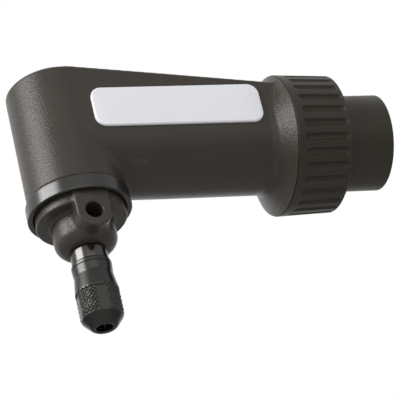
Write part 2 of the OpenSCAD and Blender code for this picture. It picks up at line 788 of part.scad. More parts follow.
module collet() {
    shank_top = socket_top - 4 * run_gap;
    widest_z = collet_head_z - (collet_head_r - collet_r);
    color(steel_colour) difference() {
        translate([head_x, 0, 0]) rotate_extrude() polygon([
            [collet_bore_r, shank_top], [collet_r, shank_top], [collet_r, collet_head_z],
            [collet_head_r, widest_z], [collet_tip_r, collet_end_z], [collet_bore_r, collet_end_z]
        ]);
        for (i = [0 : slit_count - 1])
            along_spindle(collet_end_z - past) rotate(i * 360 / slit_count + 45)
                translate([0, -slit_w / 2, 0]) cube([2 * collet_r, slit_w, slit_len + past]);
    }
}

module collet_nut() {
    widest_z = collet_head_z - (collet_head_r - collet_r);
    cone = (collet_head_r - collet_tip_r) / (widest_z - collet_end_z);
    cone_gap = 2 * run_gap;
    thread_end_z = collet_head_z - run_gap;
    cone_top_r = collet_tip_r + cone_gap + (thread_end_z - collet_end_z) * cone;
    hole_z = collet_end_z + (collet_nut_hole_r - collet_tip_r - cone_gap) / cone;
    tip_edge = collet_nut_tip_h / 4;
    color(dark_steel_colour) difference() {
        along_spindle(0) rotate_extrude() polygon([
            [spindle_r + run_gap, collet_nut_top], [collet_nut_neck_r, collet_nut_top],
            [collet_nut_neck_r, collet_nut_flare_z], [collet_nut_r, collet_nut_body_z],
            [collet_nut_r, collet_nut_tip_z], [collet_nut_r - tip_edge / 2, collet_nut_tip_z - tip_edge],
            [collet_nut_tip_r, collet_nut_end_z], [collet_nut_hole_r, collet_nut_end_z],
            [collet_nut_hole_r, hole_z], [cone_top_r, thread_end_z], [spindle_r + run_gap, thread_end_z]
        ]);
        for (i = [0 : flat_count - 1])
            along_spindle(collet_nut_end_z - past) rotate(i * 360 / flat_count + flat_turn)
                translate([flat_at, -collet_nut_r, 0])
                    cube([collet_nut_r, 2 * collet_nut_r, past + collet_nut_tip_h + flat_h]);
    }
}

adapter_sleeve();
thrust_washer();
coupling_nut();
housing();
badge();
clamp_ring();
nose_cap();
dust_seal();
bearing_spacer();
housing_circlip();
preload_washer();
drive_shaft();
pinion();
pinion_pin();
shaft_clip();
spindle();
bevel_gear();
gear_pin();
collet();
collet_nut();
front_bearing() outer_ring(arm_bearing);  // front_bearing_outer_ring
front_bearing() inner_ring(arm_bearing);  // front_bearing_inner_ring
front_bearing() balls(arm_bearing);  // front_bearing_balls
front_bearing() cage(arm_bearing);  // front_bearing_cage
rear_bearing() outer_ring(arm_bearing);  // rear_bearing_outer_ring
rear_bearing() inner_ring(arm_bearing);  // rear_bearing_inner_ring
rear_bearing() balls(arm_bearing);  // rear_bearing_balls
rear_bearing() cage(arm_bearing);  // rear_bearing_cage
upper_bearing_seat() outer_ring(upper_bearing);  // upper_bearing_outer_ring
upper_bearing_seat() inner_ring(upper_bearing);  // upper_bearing_inner_ring
upper_bearing_seat() balls(upper_bearing);  // upper_bearing_balls
upper_bearing_seat() cage(upper_bearing);  // upper_bearing_cage
lower_bearing_seat() outer_ring(lower_bearing);  // lower_bearing_outer_ring
lower_bearing_seat() inner_ring(lower_bearing);  // lower_bearing_inner_ring
lower_bearing_seat() balls(lower_bearing);  // lower_bearing_balls
lower_bearing_seat() cage(lower_bearing);  // lower_bearing_cage
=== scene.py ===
"""Angle head: the looks of a right-angle attachment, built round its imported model."""

import json
import math
from types import SimpleNamespace

import bmesh
import bpy
from bpy.props import FloatProperty, FloatVectorProperty, IntProperty, PointerProperty
from mathutils import Matrix, Vector


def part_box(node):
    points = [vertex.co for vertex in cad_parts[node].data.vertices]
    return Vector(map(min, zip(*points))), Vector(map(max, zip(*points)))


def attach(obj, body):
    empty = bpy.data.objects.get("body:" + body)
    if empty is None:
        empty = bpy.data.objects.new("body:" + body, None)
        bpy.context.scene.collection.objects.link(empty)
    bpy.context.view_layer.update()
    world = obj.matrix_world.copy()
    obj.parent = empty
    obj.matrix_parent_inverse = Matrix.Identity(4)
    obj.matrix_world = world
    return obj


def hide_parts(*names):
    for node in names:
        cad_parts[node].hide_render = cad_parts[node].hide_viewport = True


bl_info = {
    "name": "Angle head",
    "version": (1, 0, 0),
    "blender": (4, 5, 0),
    "location": "3D View > Sidebar > Angle head",
    "description": "Builds the moulded, turned and knurled pieces of an angle head, with their finishes",
    "category": "Object",
}

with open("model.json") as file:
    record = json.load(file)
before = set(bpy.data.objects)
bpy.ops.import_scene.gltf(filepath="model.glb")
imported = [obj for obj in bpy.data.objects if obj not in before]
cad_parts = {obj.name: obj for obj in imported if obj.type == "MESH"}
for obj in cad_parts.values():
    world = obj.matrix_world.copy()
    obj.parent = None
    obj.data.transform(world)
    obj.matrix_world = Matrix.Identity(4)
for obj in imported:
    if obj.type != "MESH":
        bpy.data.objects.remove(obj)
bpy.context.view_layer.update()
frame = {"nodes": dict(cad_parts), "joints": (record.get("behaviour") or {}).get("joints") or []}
MM = 0.001
TURN = 2 * math.pi

# Clearances in millimetres: pressed bearing, running fit, facing faces, round the flange, past the bearing
PRESS_GAP = 0.02
RUN_GAP = 0.05
FACE_GAP = 0.2
FLANGE_GAP = 0.25
BORE_RELIEF = 0.5


def span(node, axis):
    """Lowest and highest coordinate of a node along X, Y or Z (0, 1 or 2), in millimetres."""
    low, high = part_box(node)
    return low[axis] / MM, high[axis] / MM


def joint_place(name):
    """The point on a joint's axis, in millimetres."""
    joint = next(j for j in frame["joints"] if j["name"] == name)
    return [value / MM for value in joint["pos_m"]]


# Places taken from the frame, in millimetres
HEAD_X = joint_place("spindle_spin")[0]
HOUSING_FRONT, SPIGOT_END = span("housing", 0)
HEAD_R = HEAD_X - HOUSING_FRONT
HEAD_TOP = span("housing", 2)[1]
FLARE_R = span("housing", 1)[1]
BORE_R = span("rear_bearing_outer_ring", 1)[1] + PRESS_GAP
BORE_FLOOR = span("rear_bearing_outer_ring", 0)[0] - BORE_RELIEF
NUT_FRONT, NUT_REAR = span("coupling_nut", 0)
NUT_R = span("coupling_nut", 1)[1]
ARM_END = NUT_FRONT - FACE_GAP
PILOT_END, MOUTH = span("adapter_sleeve", 0)
PILOT_R = BORE_R - RUN_GAP
FLANGE_R = span("adapter_sleeve", 1)[1]
SPIGOT_R = FLANGE_R + FLANGE_GAP
WASHER_FRONT, WASHER_REAR = span("thrust_washer", 0)
FLANGE_REAR = WASHER_FRONT - RUN_GAP
FLANGE_FRONT = SPIGOT_END + RUN_GAP
LIP_FRONT = WASHER_REAR + RUN_GAP
RING_BOTTOM, RING_TOP = span("clamp_ring", 2)
RING_R = span("clamp_ring", 1)[1]
HEAD_BOTTOM = RING_TOP + FACE_GAP
NOSE_BOTTOM = span("nose_cap", 2)[0]
COLLET_NUT_END, COLLET_NUT_TOP = span("collet_nut", 2)
COLLET_NUT_R = span("collet_nut", 1)[1]
BADGE_LEFT, BADGE_RIGHT = span("badge", 0)
BADGE_FACE, BADGE_BACK = span("badge", 1)
BADGE_LOW, BADGE_HIGH = span("badge", 2)


def length(label, text, millimetres):
    """A length that a user may change."""
    return FloatProperty(
        name=label, description=text, default=millimetres * MM, min=0.0, precision=5, subtype="DISTANCE"
    )


def colour(label, text, default):
    """A colour that a user may change."""
    return FloatVectorProperty(
        name=label, description=text, default=default, size=3, min=0.0, max=1.0, subtype="COLOR"
    )


class AngleHeadSizes(bpy.types.PropertyGroup):
    """Sizes of the moulded, turned and knurled pieces. The defaults are written in millimetres."""

    arm_r: length("Arm radius", "Radius of the arm's round underside", 12.15)
    widening: length("Arm widening", "Length over which the arm widens beyond the head", 24.0)
    roof_end: length("Roof at the nut", "Height of the sloping roof where the arm meets the nut", 11.0)
    roof_round: length("Roof rounding", "Rounding of the roof's edges and the head's rim", 0.5)
    flare_len: length("Flare length", "Length of the flare between the arm and the coupling nut", 3.6)
    flare_start: length("Flare start", "Radius at which the flare leaves the arm", 11.9)
    flare_power: FloatProperty(
        name="Flare power", description="Hollowness of the flare, 1 for a cone", default=1.15,
    )
    flare_blend: length("Flare blend", "Reach of the fillet between the arm and its flare", 1.0)
    underside_fillet: length("Underside fillet", "Reach of the fillet between the head and the arm", 2.4)
    spigot_pitch: length("Spigot pitch", "Pitch of the thread between arm and coupling nut", 1.5)
    spigot_depth: length("Spigot thread depth", "Depth of the thread between arm and coupling nut", 0.6)
    sleeve_r: length("Sleeve radius", "Radius of the sleeve behind the coupling nut", 12.0)
    tool_thread_r: length("Tool thread radius", "Radius of the thread that takes the tool's nose", 9.6)
    tool_thread_len: length("Tool thread length", "Depth of the thread that takes the tool's nose", 11.0)
    tool_pitch: length("Tool thread pitch", "Pitch of the thread that takes the tool's nose", 2.117)
    tool_thread_depth: length("Tool thread height", "Height of the thread that takes the tool's nose", 0.85)
    nut_edge: length("Nut edge", "Rounding of the coupling nut's front edge", 0.22)
    band_w: length("Band width", "Width of the plain band before the grip grooves", 2.0)
    rear_rim: length("Rear rim", "Width of the plain rim behind the grip grooves", 0.6)
    groove_w: length("Groove width", "Width of a grip groove", 1.8)
    groove_depth: length("Groove depth", "Depth of a grip groove", 0.7)
    groove_soft: length("Groove edge", "Softness of a grip groove's edges", 0.1)
    badge_round: length("Badge corner", "Radius of the badge's corners", 2.8)
    badge_edge: length("Badge edge", "Rounding of the badge's raised edge", 0.4)
    badge_dome: length("Badge dome", "Height of the badge's dome", 0.14)
    ring_wall: length("Ring wall", "Wall of the clamp ring round the nose cap's flange", 0.98)
    ring_lip: length("Ring lip", "Width of the clamp ring's lip under the flange", 0.4)
    ring_lip_h: length("Ring lip height", "Height of the clamp ring's lip", 1.6)
    plateau_r: length("Plateau radius", "Radius of the nose cap's plateau", 11.05)
    plateau_drop: length("Plateau drop", "Depth of the plateau's face below the clamp ring", 2.4)
    nose_r: length("Nose radius", "Radius of the nose boss", 7.65)
    nose_round: length("Nose rounding", "Rounding of the nose's lower edge", 3.2)
    lug_r: length("Lug radius", "Radius of the lug round the lock hole", 4.3)
    lug_reach: length("Lug reach", "Distance of the lug's face from the spindle", 10.9)
    lock_drop: length("Lock hole drop", "Distance of the lock hole below the plateau", 2.7)
    lock_mouth_r: length("Lock mouth radius", "Radius of the lock hole's mouth", 2.1)
    lock_mouth_depth: length("Lock mouth depth", "Depth of the lock hole's mouth", 6.0)
    lock_r: length("Lock hole radius", "Radius of the lock hole", 1.6)
    flare_top: length("Flare top", "Height of the collet nut's plain neck", 3.2)
    flare_h: length("Flare height", "Height of the collet nut's flare", 4.2)
    shoulder_r: length("Shoulder radius", "Radius of the spindle's shoulder", 4.5)
    shoulder_gap: length("Shoulder gap", "Gap between the nose and the spindle's shoulder", 0.15)
    shoulder_bevel: length("Shoulder bevel", "Bevel of the shoulder's upper edge", 0.3)
    collar_r: length("Collar radius", "Radius of the collet nut's upper edge", 4.85)
    neck_r: length("Neck radius", "Radius of the collet nut's neck", 4.7)
    tip_h: length("Tip height", "Height of the collet nut's cone", 2.8)
    tip_r: length("Tip radius", "Radius of the collet nut's end face", 3.0)
    hole_r: length("Tip hole radius", "Radius of the hole in the collet nut's end", 1.95)
    neck_groove: length("Neck groove", "Distance of the fine groove from the collet nut's top", 0.85)
    knurl_depth: length("Knurl depth", "Depth of the collet nut's knurl", 0.24)
    knurl_lead: length("Knurl lead", "Rise of a knurl groove from one to the next", 1.15)
    flat_at: length("Flat distance", "Distance of the wrench flats from the spindle's axis", 4.985)
    flat_h: length("Flat height", "Height of the wrench flats above the tip", 6.0)
    grooves: IntProperty(
        name="Grip grooves", description="Number of grooves round the coupling nut", default=30, min=1,
    )
    knurls: IntProperty(
        name="Knurl grooves", description="Number of knurl grooves each way", default=28, min=1,
    )
    groove_turn: FloatProperty(
        name="Groove turn", description="Turn of the first groove from the top",
        default=math.radians(8.3), subtype="ANGLE",
    )
    flat_turn: FloatProperty(
        name="Flat turn", description="Turn of the wrench flats", default=math.radians(-4), subtype="ANGLE",
    )


class AngleHeadColours(bpy.types.PropertyGroup):
    """Colours of the finishes."""

    body: colour("Body plastic", "Moulded plastic of arm, head and nose", (0.0365, 0.031, 0.0252))
    nut: colour("Nut plastic", "Moulded plastic of the coupling nut and sleeve", (0.0275, 0.023, 0.0162))
    badge: colour("Badge", "Face of the badge", (0.78, 0.785, 0.81))
    ring: colour("Ring", "Satin coat of the clamp ring", (0.0115, 0.0105, 0.009))
    oxide: colour("Black oxide", "Blackened steel of the collet nut", (0.042, 0.041, 0.039))
    steel: colour("Steel", "Ground steel", (0.56, 0.56, 0.57))
    spindle: colour("Spindle steel", "Dark polished steel of the spindle", (0.06, 0.058, 0.056))
    dark_steel: colour("Spring steel", "Clips and washers", (0.12, 0.12, 0.125))
    brass: colour("Brass", "Bearing cages", (0.62, 0.43, 0.16))
    felt: colour("Felt", "Dust seal", (0.2, 0.18, 0.15))
    floor: colour("Floor", "Stage floor", (0.86, 0.86, 0.86))


def sizes_in_mm(scene):
    """The scene's sizes, with the lengths in millimetres."""
    group = scene.angle_head_sizes
    sizes = SimpleNamespace()
    for name in AngleHeadSizes.__annotations__:
        value = getattr(group, name)
        is_length = group.bl_rna.properties[name].unit == "LENGTH"
        setattr(sizes, name, value / MM if is_length else value)
    return sizes


class Value:
    """A node's socket. Maths on it adds Math nodes, and node() adds a node of any other kind."""

    def __init__(self, tree, socket=None):
        self.tree = tree
        self.socket = socket

    def node(self, kind, settings, sockets, output=0):
        """Adds a node: its settings are set first, then its sockets get values or links."""
        made = self.tree.nodes.new(kind)
        for name, setting in settings.items():
            setattr(made, name, setting)
        for name, value in sockets.items():
            if isinstance(value, Value):
                self.tree.links.new(value.socket, made.inputs[name])
            else:
                made.inputs[name].default_value = value
        return Value(self.tree, made.outputs[output] if made.outputs else None)

    def output(self, index):
        """Another output of the same node."""
        return Value(self.tree, self.socket.node.outputs[index])

    def math(self, operation, *others):
        """A Math node on this value and the others."""
        return self.node("ShaderNodeMath", {"operation": operation}, dict(enumerate((self, *others))))

    def __add__(self, other):
        return self.math("ADD", other)

    def __sub__(self, other):
        return self.math("SUBTRACT", other)

    def __rsub__(self, other):
        return self.math("MULTIPLY_ADD", -1.0, other)

    def __mul__(self, other):
        return self.math("MULTIPLY", other)

    def __truediv__(self, other):
        return self.math("DIVIDE", other)

    def __neg__(self):
        return self.math("MULTIPLY", -1.0)

    __radd__ = __add__
    __rmul__ = __mul__

    def larger(self, other):
        return self.math("MAXIMUM", other)

    def smaller(self, other):
        return self.math("MINIMUM", other)

    def clamped(self):
        return self.larger(0.0).smaller(1.0)


def hypotenuse(a, b):
    return (a * a + b * b).math("SQRT")


def within(a, b, rounding):
    """Distance to the part that two shapes share, with its edge rounded."""
    outside = hypotenuse((a + rounding).larger(0.0), (b + rounding).larger(0.0))
    return a.larger(b).smaller(-rounding) + outside


def joined(a, b, reach):
    """Distance to two shapes joined, with a soft fillet between them. reach is a value or a number."""
    overlap = (1.0 - (a - b).math("ABSOLUTE") / reach).larger(0.0)
    return a.smaller(b) - overlap * overlap * reach * 0.25


def geometry_tree(name, sizes):
    """A geometry node tree with a named input for each size. Returns it with a Value for each input."""
    tree = bpy.data.node_groups.new(name, "GeometryNodeTree")
    tree.interface.new_socket("Geometry", in_out="INPUT", socket_type="NodeSocketGeometry")
    tree.interface.new_socket("Geometry", in_out="OUTPUT", socket_type="NodeSocketGeometry")
    for label in sizes:
        tree.interface.new_socket(label, in_out="INPUT", socket_type="NodeSocketFloat")
    given = tree.nodes.new("NodeGroupInput")
    return tree, {socket.name: Value(tree, socket) for socket in given.outputs if socket.name}


def end_tree(geometry, material):
    """Closes a geometry tree with Realize Instances and Set Material."""
    real = geometry.node("GeometryNodeRealizeInstances", {}, {"Geometry": geometry})
    painted = real.node("GeometryNodeSetMaterial", {}, {"Geometry": real, "Material": material})
    painted.node("NodeGroupOutput", {}, {"Geometry": painted})


def mesh_from_tree(name, tree, sizes, mesh=None):
    """Runs a geometry tree on a mesh and returns the result as a plain mesh."""
    source = bpy.data.objects.new(name + "_source", mesh or bpy.data.meshes.new(name + "_source"))
    bpy.context.scene.collection.objects.link(source)
    modifier = source.modifiers.new("Shape", "NODES")
    modifier.node_group = tree
    for item in tree.interface.items_tree:
        if item.in_out == "INPUT" and item.name in sizes:
            modifier[item.identifier] = float(sizes[item.name])
    evaluated = source.evaluated_get(bpy.context.evaluated_depsgraph_get())
    result = bpy.data.meshes.new_from_object(evaluated)
    source.modifiers.remove(modifier)
    bpy.data.objects.remove(source)
    if not result.polygons:
        raise RuntimeError(f"{name}: the geometry nodes made no faces")
    return result


def position_in_mm(tree):
    """X, Y and Z of the point that a field is read at, in millimetres."""
    position = Value(tree).node("GeometryNodeInputPosition", {}, {})
    x = position.node("ShaderNodeSeparateXYZ", {}, {"Vector": position})
    return x / MM, x.output(1) / MM, x.output(2) / MM


def skin_of(distance, low, high, voxel):
    """Meshes the inside of a shape that is given as a distance in millimetres, between two corners."""
    steps = [max(8, round((b - a) / voxel)) for a, b in zip(low, high)]
    volume = distance.node("GeometryNodeVolumeCube", {}, {
        "Density": -distance, "Background": -1.0,
        "Min": [v * MM for v in low], "Max": [v * MM for v in high],
        "Resolution X": steps[0], "Resolution Y": steps[1], "Resolution Z": steps[2],
    })
    return volume.node("GeometryNodeVolumeToMesh", {"resolution_mode": "GRID"}, {
        "Volume": volume, "Threshold": 0.0, "Adaptivity": 0.0,
    })


def rounded_outline(corners, arc_steps=6):
    """Closed outline through (along, radius, rounding) corners, each rounded by an arc."""
    points = []
    for i, (along, radius, rounding) in enumerate(corners):
        here = Vector((along, radius))
        if rounding == 0.0:
            points.append(here)
            continue
        before = (Vector(corners[i - 1][:2]) - here).normalized()
        after = (Vector(corners[(i + 1) % len(corners)][:2]) - here).normalized()
        half = before.angle(after) / 2
        centre = here + (before + after).normalized() * (rounding / math.sin(half))
        start = here + before * (rounding / math.tan(half)) - centre
        end = here + after * (rounding / math.tan(half)) - centre
        first = math.atan2(start.y, start.x)
        sweep = (math.atan2(end.y, end.x) - first + math.pi) % TURN - math.pi
        for k in range(arc_steps + 1):
            angle = first + sweep * k / arc_steps
            points.append(centre + rounding * Vector((math.cos(angle), math.sin(angle))))
    return points


def filled_in(points, step):
    """The same closed outline with no stretch longer than step."""
    out = []
    for i, here in enumerate(points):
        there = points[(i + 1) % len(points)]
        parts = max(1, math.ceil((there - here).length / step))
        out.extend(here.lerp(there, k / parts) for k in range(parts))
    return out


def about_drive(along, radius, angle):
    """A point at a place along the drive axis. Angle 0 is up, and it grows towards the front side."""
    return Vector((along, -radius * math.sin(angle), radius * math.cos(angle))) * MM


def about_spindle(along, radius, angle):
    """A point at a height on the spindle axis. Angle 0 is towards the mouth."""
    return Vector((HEAD_X + radius * math.cos(angle), radius * math.sin(angle), along)) * MM


def revolved(name, outline, steps, place, shape=None, first=0.0, sweep=TURN):
    """Turns a closed outline about an axis. shape(along, radius, angle) may change the radius."""
    full = math.isclose(sweep, TURN)
    rows = steps if full else steps + 1
    count = len(outline)
    points = []
    for i in range(rows):
        angle = first + sweep * i / steps
        for along, radius in outline:
            points.append(place(along, shape(along, radius, angle) if shape else radius, angle))
    faces = []
    for i in range(steps):
        j = (i + 1) % rows
        for k in range(count):
            m = (k + 1) % count
            faces.append((i * count + k, j * count + k, j * count + m, i * count + m))
    mesh = bpy.data.meshes.new(name)
    mesh.from_pydata(points, [], faces)
    return mesh


def thread_ridge(along, angle, pitch, slope, sink):
    """Height of a thread's ridge, from 0 to 1. Its flanks rise by slope over a turn, from sink below 0."""
    turn = (along / pitch - angle / TURN) % 1.0
    return min(1.0, max(0.0, slope * (0.5 - abs(turn - 0.5)) - sink))


def face_outwards(mesh):
    """Turns the faces of a closed mesh outwards."""
    work = bmesh.new()
    work.from_mesh(mesh)
    bmesh.ops.remove_doubles(work, verts=work.verts, dist=1e-7)
    bmesh.ops.recalc_face_normals(work, faces=work.faces)
    work.to_mesh(mesh)
    work.free()


def add_piece(name, mesh, material, body, slot, *nodes, crease=38.0):
    """Puts a finished mesh in the scene as a piece that rides on a body and stands for CAD nodes."""
    face_outwards(mesh)
    mesh.shade_smooth()
    mesh.set_sharp_from_angle(angle=math.radians(crease))
    mesh.materials.clear()
    mesh.materials.append(material)
    mesh.name = name
    piece = bpy.data.objects.new(name, mesh)
    bpy.context.scene.collection.objects.link(piece)
    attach(piece, body)
    if nodes:
        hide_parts(*nodes)


def new_material(name, base, **constants):
    """A material with a Principled shader. Returns it, a Value on its tree and the shader's node."""
    material = bpy.data.materials.new(name)
    material.use_nodes = True
    shader = material.node_tree.nodes["Principled BSDF"]
    shader.inputs["Base Color"].default_value = (*base, 1.0)
    for socket, value in constants.items():
        shader.inputs[socket.replace("_", " ")].default_value = value
    return material, Value(material.node_tree), shader


def feed(shader, socket, value):
    """Links a value to one of the shader's sockets."""
    value.tree.links.new(value.socket, shader.inputs[socket])


def noise(coordinates, per_metre, detail):
    """A noise of features per metre, from 0 to 1."""
    return coordinates.node("ShaderNodeTexNoise", {}, {
        "Vector": coordinates, "Scale": per_metre, "Detail": detail,
    })


def object_coordinates(start):
    return start.node("ShaderNodeTexCoord", {}, {}, output="Object")


def tinted(start, base, factor, dark, light):
    """The base colour scaled from dark to light by a factor."""
    low = (*[c * dark for c in base], 1.0)
    high = (*[min(1.0, c * light) for c in base], 1.0)
    return start.node("ShaderNodeMix", {"data_type": "RGBA"}, {0: factor, 6: low, 7: high}, output=2)


def bumped(height, strength, depth):
    """A normal from a height. depth is in metres."""
    return height.node("ShaderNodeBump", {}, {"Height": height, "Strength": strength, "Distance": depth})


def moulded_plastic(name, base, rough, grain):
    """Spark-textured moulded plastic: fine grain, faint flow marks and slightly polished edges."""
    material, start, shader = new_material(name, base, Specular_IOR_Level=0.22)
    coordinates = object_coordinates(start)
    fine = noise(coordinates, per_metre=3000.0, detail=1.0)
    flow = noise(coordinates, per_metre=70.0, detail=4.0)
    edge = start.node("ShaderNodeNewGeometry", {}, {}, output="Pointiness")
    worn = ((edge - 0.5) * 9.0).clamped()
    shade = (flow * 0.6 + fine * 0.4 + worn * 0.55).clamped()
    feed(shader, "Base Color", tinted(start, base, shade, dark=0.72, light=1.32))
    feed(shader, "Roughness", (rough + (fine - 0.5) * 0.25 - worn * 0.1).clamped())
    feed(shader, "Normal", bumped(fine, strength=grain, depth=0.00006))
    return material


def satin_coat(name, base):
    """Smooth satin black coat with faint handling marks."""
    material, start, shader = new_material(name, base, Specular_IOR_Level=0.45)
    coordinates = object_coordinates(start)
    marks = noise(coordinates, per_metre=160.0, detail=5.0)
    fine = noise(coordinates, per_metre=3200.0, detail=2.0)
    feed(shader, "Base Color", tinted(start, base, marks, dark=0.75, light=1.3))
    feed(shader, "Roughness", (marks * 0.1 + 0.2).clamped())
    feed(shader, "Normal", bumped(fine, strength=0.08, depth=0.00004))
    return material


def turned_metal(name, base, rough, axis):
    """Turned or ground metal: fine tool lines round the axis, X or Z, and small changes of polish."""
    material, start, shader = new_material(name, base, Metallic=1.0)
    coordinates = object_coordinates(start)
    along, around = 9000.0, 60.0
    stretch = (along, around, around) if axis == "X" else (around, around, along)
    mapped = coordinates.node("ShaderNodeMapping", {}, {"Vector": coordinates, "Scale": stretch})
    tool = noise(mapped, per_metre=1.0, detail=2.0)
    cloud = noise(coordinates, per_metre=220.0, detail=4.0)
    feed(shader, "Base Color", tinted(start, base, cloud, dark=0.8, light=1.15))
    feed(shader, "Roughness", (rough + (cloud - 0.5) * 0.16 + (tool - 0.5) * 0.12).clamped())
    feed(shader, "Normal", bumped(tool, strength=0.12, depth=0.00003))
    return material


def glossy_label(name, base):
    """White plate under a clear domed coat."""
    material, start, shader = new_material(
        name, base, Specular_IOR_Level=0.5, Coat_Weight=0.8, Coat_Roughness=0.06
    )
    coordinates = object_coordinates(start)
    cloud = noise(coordinates, per_metre=45.0, detail=3.0)
    ripple = noise(coordinates, per_metre=260.0, detail=2.0)
    feed(shader, "Base Color", tinted(start, base, cloud, dark=0.97, light=1.03))
    feed(shader, "Roughness", (cloud * 0.1 + 0.22).clamped())
    feed(shader, "Normal", bumped(ripple, strength=0.04, depth=0.00003))
    return material


def pressed_felt(name, base):
    """Matted wool fibres."""
    material, start, shader = new_material(name, base, Roughness=0.95)
    coordinates = object_coordinates(start)
    fibre = noise(coordinates, per_metre=1500.0, detail=6.0)
    feed(shader, "Base Color", tinted(start, base, fibre, dark=0.5, light=1.4))
    feed(shader, "Normal", bumped(fibre, strength=0.7, depth=0.0002))
    return material


# The frame's own materials have the slots' names, so these finishes have names of their own
FINISH_NAMES = {
    "body_plastic": "grained_body",
    "nut_plastic": "grained_nut",
    "badge_face": "domed_label",
    "dark_metal": "satin_coat",
    "felt": "pressed_felt",
}


def finish(kind, axis="X"):
    """The material of a named finish. A metal's tool lines run round the drive (X) or the spindle (Z)."""
    name = FINISH_NAMES.get(kind, f"{kind}_{axis.lower()}")
    return bpy.data.materials.get(name) or make_finish(kind, name, axis)


def make_finish(kind, name, axis):
    colours = bpy.context.scene.angle_head_colours
    if kind == "body_plastic":
        return moulded_plastic(name, colours.body, rough=0.31, grain=1.4)
    if kind == "nut_plastic":
        return moulded_plastic(name, colours.nut, rough=0.45, grain=0.6)
    if kind == "badge_face":
        return glossy_label(name, colours.badge)
    if kind == "dark_metal":
        return satin_coat(name, colours.ring)
    if kind == "felt":
        return pressed_felt(name, colours.felt)
    base, rough = {
        "bright_steel": (colours.steel, 0.24),
        "polished_steel": (colours.spindle, 0.2),
        "black_steel": (colours.oxide, 0.27),
        "brass": (colours.brass, 0.3),
        "spring_steel": (colours.dark_steel, 0.35),
    }[kind]
    return turned_metal(name, base, rough, axis)


